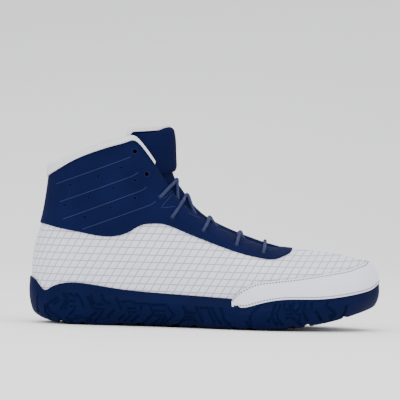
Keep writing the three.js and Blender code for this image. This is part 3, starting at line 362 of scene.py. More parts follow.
FULLNESS = [
    (0.000, HEEL_SWELL, 0.90, 0.07),
    (0.110, 0.40 * HEEL_SWELL, 0.72, 0.26),
    (0.260, 0, 0.50, 0.50),
    (0.360, 0, 0.50, 0.48),
    (0.450, 0, 0.50, 0.45),
    (0.545, 0.17 * TOE_SWELL, 0.50, 0.40),
    (0.635, 0.33 * TOE_SWELL, 0.50, 0.35),
    (0.720, 0.53 * TOE_SWELL, 0.50, 0.30),
    (0.802, 0.67 * TOE_SWELL, 0.50, 0.27),
    (0.880, 0.80 * TOE_SWELL, 0.50, 0.25),
    (0.940, 0.93 * TOE_SWELL, 0.52, 0.24),
    (1.000, TOE_SWELL, 0.55, 0.23),
]


def throat_centre(part):
    return THROAT_SWING * smooth(share((part - SWING_START) / (VAMP_ALONG - SWING_START)))


def round_column(table, outer, inner):
    rows = table[1:-1]
    return ring_column(
        [row[0] for row in rows],
        [row[outer] for row in rows],
        [row[inner] for row in rows],
        table[0][outer],
        table[-1][outer],
    )


top_shares = [row[0] for row in TOP_EDGE]
top_columns = [along_x(row[1]) for row in TOP_EDGE]
top_x = ring_column(top_shares, top_columns, top_columns, along_x(BACK_ALONG), along_x(VAMP_ALONG))
top_y = ring_column(
    top_shares,
    [throat_centre(row[1]) - row[3] for row in TOP_EDGE],
    [throat_centre(row[1]) + row[3] for row in TOP_EDGE],
    0,
    throat_centre(VAMP_ALONG),
)
top_z = ring_column(
    top_shares,
    [row[2] for row in TOP_EDGE],
    [row[2] + INNER_COLLAR_RISE * math.sin(math.pi * min(1, row[0] / 0.42)) for row in TOP_EDGE],
    BACK_HEIGHT,
    VAMP_HEIGHT,
)
shoulder_z = round_column(SHOULDER, 1, 2)
shoulder_lean = round_column(SHOULDER, 3, 3)
swell_at = round_column(FULLNESS, 1, 1)
bend_below = round_column(FULLNESS, 2, 2)
bend_above = round_column(FULLNESS, 3, 3)
print("rows of the top edge, from the heel to the vamp:", len(TOP_EDGE))


# %% The ribbons
def points_of(x, y, z):
    return np.stack(np.broadcast_arrays(x, y, z), axis=-1)


def ribbon(around, up):
    """A point of the last, in millimetres: up is 0 at the sole and 1 at the top edge."""
    around, up = np.broadcast_arrays(np.asarray(around, float), np.asarray(up, float))
    start_x, start_y = outline_at(around, -FEATHER_INSET)
    start = points_of(start_x, start_y, floor_at(start_x) + CLEARANCE)
    top = points_of(top_x(around), top_y(around), top_z(around))
    wide_x, wide_y = outline_at(around, swell_at(around))
    lean = shoulder_lean(around)
    shoulder_height = shoulder_z(around)
    low_height = mix(start[..., 2], shoulder_height, bend_below(around))
    low = points_of(wide_x, wide_y, low_height)
    shoulder = points_of(
        mix(wide_x, top[..., 0], lean), mix(wide_y, top[..., 1], lean), shoulder_height
    )
    high = mix(shoulder, top, bend_above(around)[..., None])
    u = up[..., None]
    d = 1 - u
    return (
        start * d**4
        + low * (4 * u * d**3)
        + shoulder * (6 * u**2 * d**2)
        + high * (4 * u**3 * d)
        + top * u**4
    )


def unit(vectors):
    return vectors / np.linalg.norm(vectors, axis=-1, keepdims=True)


def normal_at(around, up):
    step = 1e-3
    along = ribbon(around + step, up) - ribbon(around - step, up)
    rise = ribbon(around, up + step) - ribbon(around, up - step)
    return unit(np.cross(along, rise))


def skin(around, up, out):
    """A point of the last moved outwards from its surface."""
    around, up, out = np.broadcast_arrays(
        np.asarray(around, float), np.asarray(up, float), np.asarray(out, float)
    )
    return ribbon(around, up) + normal_at(around, up) * out[..., None]


# %% [markdown]
# ## Lines seen from the side
# Seams and edges are drawn where the side view shows them, as a height for each length. A short
# search finds how far up its ribbon each place of such a line lies, so that a line drawn flat lands
# on the curved last, on both sides alike. Cutting a finished mesh along the line would also do, but
# it would leave ragged faces at the seam.

# %% Lines seen from the side
def up_where(around, is_above):
    """How far up its ribbon each place first passes a test, found by halving."""
    around = np.asarray(around, float)
    steps = np.arange(1, 41) / 40
    above = is_above(ribbon(around[:, None], steps[None, :]))
    first = np.where(above.any(axis=1), above.argmax(axis=1) + 1, 41)
    high = np.minimum(1.0, first / 40)
    low = (first - 1) / 40
    for _ in range(22):
        middle = (low + high) / 2
        past = is_above(ribbon(around, middle))
        high = np.where(past, middle, high)
        low = np.where(past, low, middle)
    return high


def side_line(rows):
    return curve_through([along_x(row[0]) for row in rows], [row[1] for row in rows])


def up_at_line(around, line, above=0.0):
    return up_where(around, lambda place: place[..., 2] > line(place[..., 0]) + above)


def up_at_height(around, height):
    around = np.asarray(around, float)
    height = np.broadcast_to(np.asarray(height, float), around.shape)

    def past(place):
        limit = height[:, None] if place.ndim == 3 else height
        return place[..., 2] > limit

    return up_where(around, past)


WALL_LINE = [
    (0.000, 1.100 * WALL_HEIGHT),
    (0.012, 1.050 * WALL_HEIGHT),
    (0.028, 0.900 * WALL_HEIGHT),
    (0.045, 0.795 * WALL_HEIGHT),
    (0.062, 0.870 * WALL_HEIGHT),
    (0.085, 0.955 * WALL_HEIGHT),
    (0.118, 1.000 * WALL_HEIGHT),
    (0.165, 0.982 * WALL_HEIGHT),
    (0.245, 0.890 * WALL_HEIGHT),
    (0.315, 0.835 * WALL_HEIGHT),
    (0.420, 0.792 * WALL_HEIGHT),
    (0.500, 0.765 * WALL_HEIGHT),
    (0.550, 0.748 * WALL_HEIGHT),
    (0.576, 0.735 * WALL_HEIGHT),
    (0.589, 0.690 * WALL_HEIGHT),
    (0.600, 0.570 * WALL_HEIGHT),
    (0.614, 0.535 * WALL_HEIGHT),
    (0.640, 0.590 * WALL_HEIGHT),
    (0.685, 0.692 * WALL_HEIGHT),
    (0.730, 0.747 * WALL_HEIGHT),
    (0.820, 0.770 * WALL_HEIGHT),
    (0.870, 0.810 * WALL_HEIGHT),
    (0.915, 0.872 * WALL_HEIGHT),
    (0.960, 0.957 * WALL_HEIGHT),
    (0.982, 1.030 * WALL_HEIGHT),
    (1.000, 1.145 * WALL_HEIGHT),
]
PANEL_LINE = [
    (0.000, 1.235 * COUNTER_HEIGHT),
    (0.023, 1.230 * COUNTER_HEIGHT),
    (0.079, 1.182 * COUNTER_HEIGHT),
    (0.125, 1.150 * COUNTER_HEIGHT),
    (0.195, 1.100 * COUNTER_HEIGHT),
    (0.241, 1.102 * COUNTER_HEIGHT),
    (0.287, 1.176 * COUNTER_HEIGHT),
    (0.310, 1.238 * COUNTER_HEIGHT),
    (0.335, 1.262 * COUNTER_HEIGHT),
    (0.378, 1.262 * COUNTER_HEIGHT),
    (0.425, 1.194 * COUNTER_HEIGHT),
    (0.518, 1.045 * COUNTER_HEIGHT),
    (0.611, 0.920 * COUNTER_HEIGHT),
    (0.660, 0.878 * COUNTER_HEIGHT),
    (0.690, 0.868 * COUNTER_HEIGHT),
    (0.712, 0.884 * COUNTER_HEIGHT),
    (0.735, 0.925 * COUNTER_HEIGHT),
    (0.750, 0.985 * COUNTER_HEIGHT),
    (0.760, 1.100 * COUNTER_HEIGHT),
]
OVERLAY_LINE = [
    (0.575, 0.310 * VAMP_HEIGHT),
    (0.587, 0.405 * VAMP_HEIGHT),
    (0.610, 0.495 * VAMP_HEIGHT),
    (0.637, 0.557 * VAMP_HEIGHT),
    (0.674, 0.591 * VAMP_HEIGHT),
    (0.777, 0.643 * VAMP_HEIGHT),
    (0.865, 0.701 * VAMP_HEIGHT),
    (0.915, 0.745 * VAMP_HEIGHT),
    (0.945, 0.790 * VAMP_HEIGHT),
    (0.962, 0.840 * VAMP_HEIGHT),
    (0.975, 0.960 * VAMP_HEIGHT),
]
wall_line = side_line(WALL_LINE)
panel_line = side_line(PANEL_LINE)
overlay_line = side_line(OVERLAY_LINE)


def place_at(side, x, z):
    """The places on one side of the last that the side view shows at given lengths and heights."""
    x, z = np.atleast_1d(np.asarray(x, float)), np.atleast_1d(np.asarray(z, float))
    trial_around, trial_up = np.meshgrid(np.arange(0.03, 0.98, 0.03), np.arange(0.05, 1, 0.05))
    seen = ribbon(side * trial_around.ravel(), trial_up.ravel())
    miss = np.hypot(seen[None, :, 0] - x[:, None], seen[None, :, 2] - z[:, None])
    best = miss.argmin(axis=1)
    around, up = trial_around.ravel()[best], trial_up.ravel()[best]
    step = 1e-4
    for _ in range(12):
        here = ribbon(side * around, up)
        by_around = (ribbon(side * (around + step), up) - here) / step
        by_up = (ribbon(side * around, up + step) - here) / step
        miss_x, miss_z = here[..., 0] - x, here[..., 2] - z
        area = by_around[..., 0] * by_up[..., 2] - by_around[..., 2] * by_up[..., 0]
        around = around - (miss_x * by_up[..., 2] - miss_z * by_up[..., 0]) / area
        up = up - (by_around[..., 0] * miss_z - by_around[..., 2] * miss_x) / area
    return side * around, up


# %% [markdown]
# ## From the last to a mesh
# A piece of material is a flat grid that is laid over the last. The grid's own two directions
# become "round the shoe" and "up the ribbon", and its texture map is measured in metres along the
# material, so that a weave keeps its real size wherever the piece bends.

# %% Lay a grid over a surface
MERGE_DISTANCE = 2e-6
outline_ring = np.linspace(-1, 1, 400)
widest = min(skin(outline_ring, up, 0)[:, 1].min() for up in np.linspace(0, 1, 41))
shoe_shift = np.array([0.0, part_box("upper")[0].y * 1000 - widest, 0.0])
print("the packed shoe is moved across by", round(float(shoe_shift[1]), 2), "mm")


def to_frame(points):
    return (np.asarray(points) + shoe_shift) / 1000


def laid_grid(name, columns, rows, place, texture=None):
    """A grid of columns by rows faces, whose vertices are placed by a function of two shares."""
    bpy.ops.mesh.primitive_grid_add(x_subdivisions=columns, y_subdivisions=rows, size=1)
    piece = bpy.context.object
    piece.name = name
    mesh = piece.data
    flat = np.zeros(len(mesh.vertices) * 3)
    mesh.vertices.foreach_get("co", flat)
    flat = flat.reshape(-1, 3)
    first, second = flat[:, 0] + 0.5, flat[:, 1] + 0.5
    placed = place(first, second)
    mesh.vertices.foreach_set("co", to_frame(placed).astype(np.float32).ravel())
    if texture is not None:
        u, v = texture(first, second)
        corner = np.zeros(len(mesh.loops), np.int32)
        mesh.loops.foreach_get("vertex_index", corner)
        coords = np.stack([u[corner], v[corner]], axis=1).astype(np.float32)
        mesh.uv_layers[0].data.foreach_set("uv", coords.ravel())
    mesh.update()
    return piece


def picked(table):
    """Places the grid's vertices at the rows and columns of a table of points."""

    def place(first, second):
        column = np.rint(first * (table.shape[0] - 1)).astype(int)
        row = np.rint(second * (table.shape[1] - 1)).astype(int)
        return table[column, row]

    return place


def merge_doubles(piece):
    bpy.context.view_layer.objects.active = piece
    bpy.ops.object.mode_set(mode="EDIT")
    bpy.ops.mesh.select_all(action="SELECT")
    bpy.ops.mesh.remove_doubles(threshold=MERGE_DISTANCE)
    bpy.ops.object.mode_set(mode="OBJECT")


def apply_modifier(piece, kind, **settings):
    bpy.context.view_layer.objects.active = piece
    modifier = piece.modifiers.new(kind.lower(), kind)
    for key, value in settings.items():
        setattr(modifier, key, value)
    bpy.ops.object.modifier_apply(modifier=modifier.name)


def finish_piece(piece, replaces=(), materials=(), angle=40):
    """Shades a piece, gives it its materials and lets it ride on the shoe."""
    for material in materials:
        piece.data.materials.append(material)
    bpy.ops.object.select_all(action="DESELECT")
    piece.select_set(True)
    bpy.context.view_layer.objects.active = piece
    bpy.ops.object.shade_smooth_by_angle(angle=math.radians(angle))
    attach(piece, "root")
    if replaces:
        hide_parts(*replaces)
    piece.data.calc_loop_triangles()
    print(piece.name, "has", len(piece.data.loop_triangles), "triangles")


def arc_length(points, axis=0):
    steps = np.linalg.norm(np.diff(points, axis=axis), axis=-1)
    start = np.zeros_like(np.take(steps, [0], axis=axis))
    return np.concatenate([start, np.cumsum(steps, axis=axis)], axis=axis)


# %% [markdown]
# ## Finishes
# Each material starts from one plain shader and gets its surface from small node groups: a weave,
# a slanted grid of lines, a grain and a braid. A group only works out a height or a mask, so the
# same group serves several materials with different sizes. Sizes are real: a thread, a pore and a
# grid cell are given in metres. Light and gloss stay in the material's own shader.

# %% Helpers for node groups
def set_socket(tree, socket, value):
    """Sets a socket to a number or a colour, or joins it to another node's output."""
    if isinstance(value, bpy.types.NodeSocket):
        tree.links.new(value, socket)
    else:
        socket.default_value = value


def math_node(tree, operation, *values):
    node = tree.nodes.new("ShaderNodeMath")
    node.operation = operation
    for socket, value in zip(node.inputs, values):
        set_socket(tree, socket, value)
    return node.outputs[0]


def ramp_node(tree, value, low, high, to_low, to_high):
    node = tree.nodes.new("ShaderNodeMapRange")
    node.interpolation_type = "SMOOTHSTEP"
    for name, number in (
        ("Value", value),
        ("From Min", low),
        ("From Max", high),
        ("To Min", to_low),
        ("To Max", to_high),
    ):
        set_socket(tree, node.inputs[name], number)
    return node.outputs["Result"]


def new_group(name, inputs, outputs):
    group = bpy.data.node_groups.new(name, "ShaderNodeTree")
    for label, kind, value in inputs:
        socket = group.interface.new_socket(label, in_out="INPUT", socket_type=kind)
        if value is not None:
            socket.default_value = value
    for label in outputs:
        group.interface.new_socket(label, in_out="OUTPUT", socket_type="NodeSocketFloat")
    return group, group.nodes.new("NodeGroupInput"), group.nodes.new("NodeGroupOutput")


def split_vector(tree, vector):
    node = tree.nodes.new("ShaderNodeSeparateXYZ")
    set_socket(tree, node.inputs[0], vector)
    return node.outputs[0], node.outputs[1], node.outputs[2]


# %% Weave, grid, grain and braid
weave_group, entry, leave = new_group(
    "plain_weave",
    [("Vector", "NodeSocketVector", None), ("Thread", "NodeSocketFloat", 0.0005)],
    ["Height"],
)
u, v, _ = split_vector(weave_group, entry.outputs["Vector"])
waves = []
for direction in (u, v):
    turns = math_node(weave_group, "DIVIDE", direction, entry.outputs["Thread"])
    waves.append(math_node(weave_group, "SINE", math_node(weave_group, "MULTIPLY", turns, math.pi)))
crossed = math_node(weave_group, "MULTIPLY", waves[0], waves[1])
weave_height = math_node(weave_group, "MULTIPLY_ADD", crossed, 0.5, 0.5)
weave_group.links.new(weave_height, leave.inputs["Height"])

LINE_SOFTNESS = 0.00022
grid_group, entry, leave = new_group(
    "slanted_grid",
    [
        ("Vector", "NodeSocketVector", None),
        ("Row", "NodeSocketFloat", 0.0059),
        ("Column", "NodeSocketFloat", 0.0065),
        ("Slant", "NodeSocketFloat", 0.58),
        ("Width", "NodeSocketFloat", 0.0005),
    ],
    ["Line"],
)
u, v, _ = split_vector(grid_group, entry.outputs["Vector"])
half_row = math_node(grid_group, "MULTIPLY", entry.outputs["Row"], 0.5)
half_column = math_node(grid_group, "MULTIPLY", entry.outputs["Column"], 0.5)
to_row = math_node(grid_group, "PINGPONG", v, half_row)
leaning = math_node(grid_group, "MULTIPLY", v, entry.outputs["Slant"])
upright = math_node(grid_group, "SUBTRACT", u, leaning)
to_column = math_node(grid_group, "PINGPONG", upright, half_column)
square_off = math_node(grid_group, "MULTIPLY", to_column, 0.87)
nearest = math_node(grid_group, "MINIMUM", to_row, square_off)
edge = math_node(grid_group, "MULTIPLY", entry.outputs["Width"], 0.5)
outside = math_node(grid_group, "ADD", edge, LINE_SOFTNESS)
line_mask = ramp_node(grid_group, nearest, edge, outside, 1.0, 0.0)
grid_group.links.new(line_mask, leave.inputs["Line"])

grain_group, entry, leave = new_group(
    "grain",
    [("Vector", "NodeSocketVector", None), ("Scale", "NodeSocketFloat", 900.0)],
    ["Height", "Drift"],
)
fine = grain_group.nodes.new("ShaderNodeTexNoise")
set_socket(grain_group, fine.inputs["Vector"], entry.outputs["Vector"])
set_socket(grain_group, fine.inputs["Scale"], entry.outputs["Scale"])
fine.inputs["Detail"].default_value = 4
pores = grain_group.nodes.new("ShaderNodeTexVoronoi")
set_socket(grain_group, pores.inputs["Vector"], entry.outputs["Vector"])
set_socket(grain_group, pores.inputs["Scale"], entry.outputs["Scale"])
broad = grain_group.nodes.new("ShaderNodeTexNoise")
set_socket(grain_group, broad.inputs["Vector"], entry.outputs["Vector"])
broad.inputs["Scale"].default_value = 38
broad.inputs["Detail"].default_value = 3
pore_share = math_node(grain_group, "MULTIPLY", pores.outputs["Distance"], 0.5)
grain_height = math_node(grain_group, "ADD", fine.outputs["Fac"], pore_share)
grain_group.links.new(grain_height, leave.inputs["Height"])
grain_group.links.new(broad.outputs["Fac"], leave.inputs["Drift"])

braid_group, entry, leave = new_group(
    "braid",
    [("Vector", "NodeSocketVector", None), ("Pitch", "NodeSocketFloat", 0.0016)],
    ["Height"],
)
u, v, _ = split_vector(braid_group, entry.outputs["Vector"])
turns = math_node(braid_group, "DIVIDE", u, entry.outputs["Pitch"])
strands = math_node(braid_group, "MULTIPLY", v, 6.0)
sides = []
for operation in ("ADD", "SUBTRACT"):
    phase = math_node(braid_group, operation, turns, strands)
    wave = math_node(braid_group, "SINE", math_node(braid_group, "MULTIPLY", phase, math.pi))
    sides.append(math_node(braid_group, "ABSOLUTE", wave))
braid_group.links.new(math_node(braid_group, "MAXIMUM", *sides), leave.inputs["Height"])
print("node groups:", ", ".join(group.name for group in bpy.data.node_groups))


# %% [markdown]
# ## From groups to materials
# Suede, leather, rubber and knit differ in colour, gloss and relief, and hardly in how they are put
# together. Two short functions make the grained and the woven ones, and only the gridded textile
# and the braided lace are put together by themselves. The navy ones have little gloss, because
# more of it would wash out their colour under soft lamps.

# %% Materials from the groups
def srgb(*levels):
    """A colour read from 0 to 255, as the shader wants it."""
    return tuple(((x / 255 + 0.055) / 1.055) ** 2.4 for x in levels)


def place_group(material, group, vector, **values):
    tree = material.node_tree
    node = tree.nodes.new("ShaderNodeGroup")
    node.node_tree = group
    tree.links.new(vector, node.inputs["Vector"])
    for name, value in values.items():
        node.inputs[name].default_value = value
    return node


def texture_vector(material, kind):
    return material.node_tree.nodes.new("ShaderNodeTexCoord").outputs[kind]


def blend_colours(material, mask, first, second):
    tree = material.node_tree
    node = tree.nodes.new("ShaderNodeMix")
    node.data_type = "RGBA"
    tree.links.new(mask, node.inputs["Factor"])
    for socket, value in ((node.inputs["A"], first), (node.inputs["B"], second)):
        set_socket(tree, socket, value if isinstance(value, bpy.types.NodeSocket) else (*value, 1))
    return node.outputs["Result"]


def bump(material, height, depth, under=None):
    tree = material.node_tree
    node = tree.nodes.new("ShaderNodeBump")
    node.inputs["Distance"].default_value = depth
    node.inputs["Strength"].default_value = 1.0
    tree.links.new(height, node.inputs["Height"])
    if under is not None:
        tree.links.new(under, node.inputs["Normal"])
    return node.outputs["Normal"]


def shader_of(material):
    return material.node_tree.nodes["Principled BSDF"]


def drifting_colour(material, grain, color, spread):
    """The colour with slight lighter and darker clouds, as dyed or moulded material has."""
    darker = tuple(x * (1 - spread) for x in color)
    lighter = tuple(min(1, x * (1 + spread)) for x in color)
    mask = ramp_node(material.node_tree, grain.outputs["Drift"], 0.3, 0.7, 0.0, 1.0)
    return blend_colours(material, mask, darker, lighter)


def grained_material(name, color, roughness, scale, depth, spread=0.08, gloss=0.1):
    material = plain_material(name, color, roughness, gloss)
    grain = place_group(material, grain_group, texture_vector(material, "Object"), Scale=scale)
    shader = shader_of(material)
    tree = material.node_tree
    tree.links.new(drifting_colour(material, grain, color, spread), shader.inputs["Base Color"])
    tree.links.new(bump(material, grain.outputs["Height"], depth), shader.inputs["Normal"])
    return material


def woven_material(name, color, roughness, thread, depth, spread=0.06, gloss=0.1):
    material = plain_material(name, color, roughness, gloss)
    shader = shader_of(material)
    tree = material.node_tree
    grain = place_group(material, grain_group, texture_vector(material, "Object"), Scale=1200)
    weave = place_group(material, weave_group, texture_vector(material, "UV"), Thread=thread)
    # The weave's low threads take a colour 28% darker: painted shade in the hollows of the weave,
    # laid over its bump.
    shaded = tuple(x * 0.72 for x in color)
    cloth = blend_colours(
        material, weave.outputs["Height"], shaded, drifting_colour(material, grain, color, spread)
    )
    tree.links.new(cloth, shader.inputs["Base Color"])
    rough = bump(material, grain.outputs["Height"], depth * 0.3)
    tree.links.new(
        bump(material, weave.outputs["Height"], depth, rough), shader.inputs["Normal"]
    )
    return material


NAVY = srgb(13, 19, 55)
SOLE_NAVY = srgb(6, 15, 50)
LIGHT_GREY = srgb(222, 222, 233)
suede = grained_material("panel_suede", NAVY, 0.85, 1500, 0.00010, 0.10, 0.05)
overlay_leather = grained_material(
    "overlay_leather", srgb(226, 226, 238), 0.5, 1100, 0.00005, 0.015, 0.3
)
rubber = grained_material("sole_rubber", SOLE_NAVY, 0.62, 1300, 0.00006, 0.07, 0.05)
tape = woven_material("binding_tape", srgb(230, 230, 238), 0.8, 0.0006, 0.00008, 0.02)
tongue_cloth = woven_material("tongue_cloth", NAVY, 0.85, 0.0008, 0.00012, 0.08, 0.04)
lining = woven_material("lining_knit", srgb(20, 20, 50), 0.9, 0.0012, 0.00020, 0.08, 0.05)
insole_cloth = woven_material("insole_cloth", srgb(24, 26, 58), 0.9, 0.0010, 0.00015, 0.08, 0.05)
backing = grained_material("panel_backing", srgb(4, 8, 22), 0.9, 1200, 0.00008, 0.05, 0.03)
# The rims round the holes are a lighter navy than the suede: a painted highlight on their raised
# edge.
rim_highlight_suede = grained_material("rim_painted_highlight", srgb(22, 30, 70), 0.7, 1500, 0.00005)
cut_edge = grained_material("cut_edge", srgb(96, 96, 112), 0.8, 2000, 0.00005)
faint_thread = grained_material("faint_thread", srgb(120, 120, 134), 0.8, 2500, 0.00003)
stitch_thread = grained_material("stitch_thread", srgb(30, 30, 42), 0.8, 2500, 0.00004)
line_thread = grained_material("pressed_line", srgb(40, 48, 88), 0.75, 2500, 0.00003)

coated = plain_material("coated_textile", LIGHT_GREY, 0.55, 0.25)
tree = coated.node_tree
cloth_map = texture_vector(coated, "UV")
grid = place_group(coated, grid_group, cloth_map)
fibre = place_group(coated, weave_group, cloth_map, Thread=0.00045)
coat_grain = place_group(coated, grain_group, texture_vector(coated, "Object"), Scale=1400)
coat_colour = drifting_colour(coated, coat_grain, LIGHT_GREY, 0.02)
tree.links.new(
    blend_colours(coated, grid.outputs["Line"], coat_colour, srgb(166, 166, 180)),
    shader_of(coated).inputs["Base Color"],
)
pressed = math_node(tree, "SUBTRACT", 1.0, grid.outputs["Line"])
fibre_bump = bump(coated, fibre.outputs["Height"], 0.00003)
tree.links.new(bump(coated, pressed, 0.00018, fibre_bump), shader_of(coated).inputs["Normal"])

cord_finish = plain_material("lace_cord", srgb(50, 68, 112), 0.75, 0.1)
tree = cord_finish.node_tree
braid = place_group(cord_finish, braid_group, texture_vector(cord_finish, "UV"))
# The lace is painted darker in the grooves between the braid's strands: painted shade, following
# the braid's height.
tree.links.new(
    blend_colours(cord_finish, braid.outputs["Height"], srgb(22, 26, 52), srgb(52, 60, 94)),
    shader_of(cord_finish).inputs["Base Color"],
)
tree.links.new(
    bump(cord_finish, braid.outputs["Height"], 0.0003), shader_of(cord_finish).inputs["Normal"]
)
print("materials:", len(bpy.data.materials))

# %% [markdown]
# ## The rubber sole
# A wrestling sole is moulded in one piece: a thin cup whose wall climbs the boot, higher at the
# heel and the toe, with tyre-like grooves in its side and lugs underneath. The cup's cross-section
# is a closed loop, so the whole sole is one grid from heel to toe. The grooves are real dents:
# short lines are drawn on the side view, and each vertex near one is pushed in. They could
# be sculpted as well, but a line in a list can be moved by itself.

# %% The wall's profile
WALL_PROFILE = [
    (0.00, WALL_RIM),
    (0.28, WALL_RIM + 0.8 * WALL_BULGE),
    (0.55, WALL_RIM + 0.6 * WALL_BULGE),
    (0.80, -0.2 * WALL_RIM),
    (0.93, -2.6 * WALL_RIM),
    (1.00, -5.2 * WALL_RIM),
]
wall_out = curve_through([row[0] for row in WALL_PROFILE], [row[1] for row in WALL_PROFILE])


def wall_points(around, down):
    """Points of the wall's outer face for columns round the shoe and rows down from its edge."""
    up_top = up_at_line(around, wall_line)
    top = skin(around, up_top, WALL_RIM + CLEARANCE)[:, None, :]
    down = down[None, :]
    endwise = np.abs(np.cos(np.pi * around))[:, None] ** 6
    swell = wall_out(down) - endwise * WALL_BULGE * np.sin(np.pi * np.minimum(1, down))
    column = around[:, None]
    x, y = outline_at(column, CLEARANCE + swell)
    foot_x, _ = outline_at(column, wall_out(1.0))
    settle = share(down / WALL_PROFILE[1][0])
    z = mix(top[..., 2], underside(foot_x), down)
    return points_of(mix(top[..., 0], x, settle), mix(top[..., 1], y, settle), z)


# %% Grooves drawn on the side view
LUG_PITCH = 23.2
FIRST_LUG = along_x(0.085)
LUG_COUNT = 11
LUG_SLANT = 0.12
LUG_GAP = 4.0
LUG_DEPTH = 2.2
ZIGZAG_WIDTH = 16
ZIGZAG_REACH = 14
ZIGZAG_GAP = 1.2
ZIGZAG_DEPTH = 1.0
GROOVE_WIDTH = 1.1
GROOVE_DEPTH = 1.0
HEEL_GROOVES = [
    [(-137.5, 22.5), (-137.5, 14.0), (-136.5, 9.5)],
    [(-131, 15), (-130, 9.5), (-126.5, 5.5)],
    [(-128.5, 13.5), (-126, 9.5), (-119.5, 6.5), (-117.5, 3)],
    [(-129.5, 15.5), (-125, 19), (-121.5, 21.5), (-120, 20.5), (-121, 18), (-123.5, 16.5)],
]
REAR_GROOVES = [
    [(-116, 25.5), (-113.5, 21.5), (-114.5, 18), (-117.5, 13)],
    [(-112.5, 25), (-111.5, 19.5), (-114, 13)],
    [(-110, 25.5), (-106.5, 22), (-105, 25.5)],
    [(-110.5, 19.5), (-106, 19.5)],
    [(-103.5, 24.5), (-100.5, 19.5), (-99, 16)],
    [(-109.5, 15), (-105.5, 15.5), (-107, 11.5), (-110, 8)],
    [(-112.5, 5.5), (-109, 2.5), (-107.5, 1)],
    [(-109, 4), (-96.5, 5.5), (-95, 3)],
    [(-105, 7), (-100.5, 7)],
    [(-95.5, 23.5), (-93.5, 19), (-91, 15)],
    [(-92.5, 25), (-92, 21), (-90, 18)],
    [(-84, 25), (-82, 20), (-77.5, 18.5)],
    [(-87.5, 17.5), (-83.5, 17.5)],
    [(-89.5, 13.5), (-82, 13.5)],
    [(-88.5, 10.5), (-93.5, 6.5), (-92.5, 3.5)],
    [(-83, 11), (-89, 3.5)],
    [(-74, 13), (-79.5, 6.5)],
    [(-86, 4.5), (-77.5, 6)],
    [(-72, 23), (-70, 18), (-67.5, 14)],
    [(-67, 20), (-60, 21), (-56, 18.5), (-46.5, 19)],
    [(-62.5, 15), (-56.5, 15)],
    [(-62, 12), (-56.5, 12)],
    [(-65.5, 9), (-69.5, 5)],
    [(-59.5, 9.5), (-64.5, 4.5)],
    [(-53, 9.5), (-59, 4)],
    [(-51.5, 18.5), (-52, 14.5)],
]
MIDDLE_GROOVES = [
    [(-52, 19), (-45, 19), (-43, 15), (-41.5, 11.5)],
    [(-41.5, 18.5), (-31, 18.5)],
    [(-39.5, 13.5), (-32, 13.5)],
    [(-39.5, 9.5), (-32.5, 10.5), (-37, 6), (-41.5, 2)],
    [(-42, 10), (-48.5, 4), (-50.5, 1.5)],
    [(-31, 8.5), (-36, 2)],
    [(-29.5, 16.5), (-24.5, 10.5), (-30.5, 4.5), (-32.5, 1.5)],
    [(-17.5, 18), (-14.5, 13), (-15.5, 8.5), (-20.5, 2.5)],
    [(-13.5, 13), (-7, 13)],
    [(-14.5, 9.5), (-8, 9.5)],
    [(-14.5, 6.5), (-8, 7.5), (-6.5, 5)],
    [(-6.5, 18), (-3, 11), (-1, 5.5)],
    [(-2.5, 17.5), (3, 17.5), (5.5, 11.5), (9, 5.5)],
    [(6.5, 17.5), (9.5, 11.5), (14, 5)],
    [(13.5, 17.5), (16.5, 8.5), (22, 3.5)],
    [(43.5, 19), (39, 14.5), (37.5, 10), (39, 4)],
    [(35, 7), (38.5, 3)],
]
FRONT_GROOVES = [
    [(40, 14.5), (44, 19), (46.5, 21.5)],
    [(58, 22), (56, 16), (55.5, 11.5), (60, 5.5)],
    [(62, 21.5), (59.5, 14), (61, 9), (64.5, 5.5)],
    [(65.5, 23.5), (65, 19.5), (69.5, 16), (70, 22)],
    [(73, 25), (72, 18.5), (74, 15.5), (78.5, 13.5), (77.5, 8)],
    [(79, 25), (78.5, 20), (75, 16.5)],
    [(67, 14.5), (72, 14.5)],
    [(67.5, 11.5), (72, 12), (79.5, 6)],
    [(83, 25.5), (81.5, 20), (80.5, 16.5), (84.5, 9.5)],
    [(88, 25.5), (87.5, 20)],
    [(101, 25), (99.5, 22), (107, 16.5), (103, 13.5)],
    [(91.5, 17), (96, 10)],
    [(107.5, 14.5), (102.5, 9)],
    [(116.5, 22), (116, 17.5), (112.5, 11.5)],
    [(55.5, 11), (52, 7.5)],
]
GROOVES = HEEL_GROOVES + REAR_GROOVES + MIDDLE_GROOVES + FRONT_GROOVES
print("grooves in the wall:", len(GROOVES))


def line_distance(x, z, points):
    best = np.full(x.shape, 1e3)
    for (ax, az), (bx, bz) in zip(points[:-1], points[1:]):
        span = (bx - ax) ** 2 + (bz - az) ** 2
        t = share(((x - ax) * (bx - ax) + (z - az) * (bz - az)) / span)
        best = np.minimum(best, np.hypot(x - mix(ax, bx, t), z - mix(az, bz, t)))
    return best


def dent(distance, width, depth, soft=0.45):
    return depth * smooth(share((width / 2 + soft - distance) / soft))


def wall_tread(x, z, top):
    """How deep the wall's grooves are at a length and height: deeper towards the ground."""
    nearest = np.full(x.shape, 1e3)
    for points in GROOVES:
        nearest = np.minimum(nearest, line_distance(x, z, points))
    low = 1 - share((z - underside(x)) / 14)
    depth = dent(nearest, GROOVE_WIDTH + 0.5 * low, GROOVE_DEPTH * (1 + 0.6 * low))
    return depth * smooth(share((top - z - 1.0) / 1.5))


def lug_depth(x, y):
    """How deep the underside is between its lugs, and in the fine zigzag on each lug."""
    depth = np.zeros_like(x)
    for count in range(LUG_COUNT):
        slant = math.tan(LUG_SLANT if count % 2 == 0 else -LUG_SLANT)
        off = np.abs(x - (FIRST_LUG + count * LUG_PITCH) + slant * y)
        depth = np.maximum(depth, dent(off, LUG_GAP, LUG_DEPTH, 0.5))
    zigzag = np.abs((y / ZIGZAG_WIDTH) % 1 - 0.5) * ZIGZAG_REACH
    off = np.abs((x + zigzag - FIRST_LUG) % (LUG_PITCH / 3) - LUG_PITCH / 6)
    return np.maximum(depth, dent(off, ZIGZAG_GAP, ZIGZAG_DEPTH, 0.4))


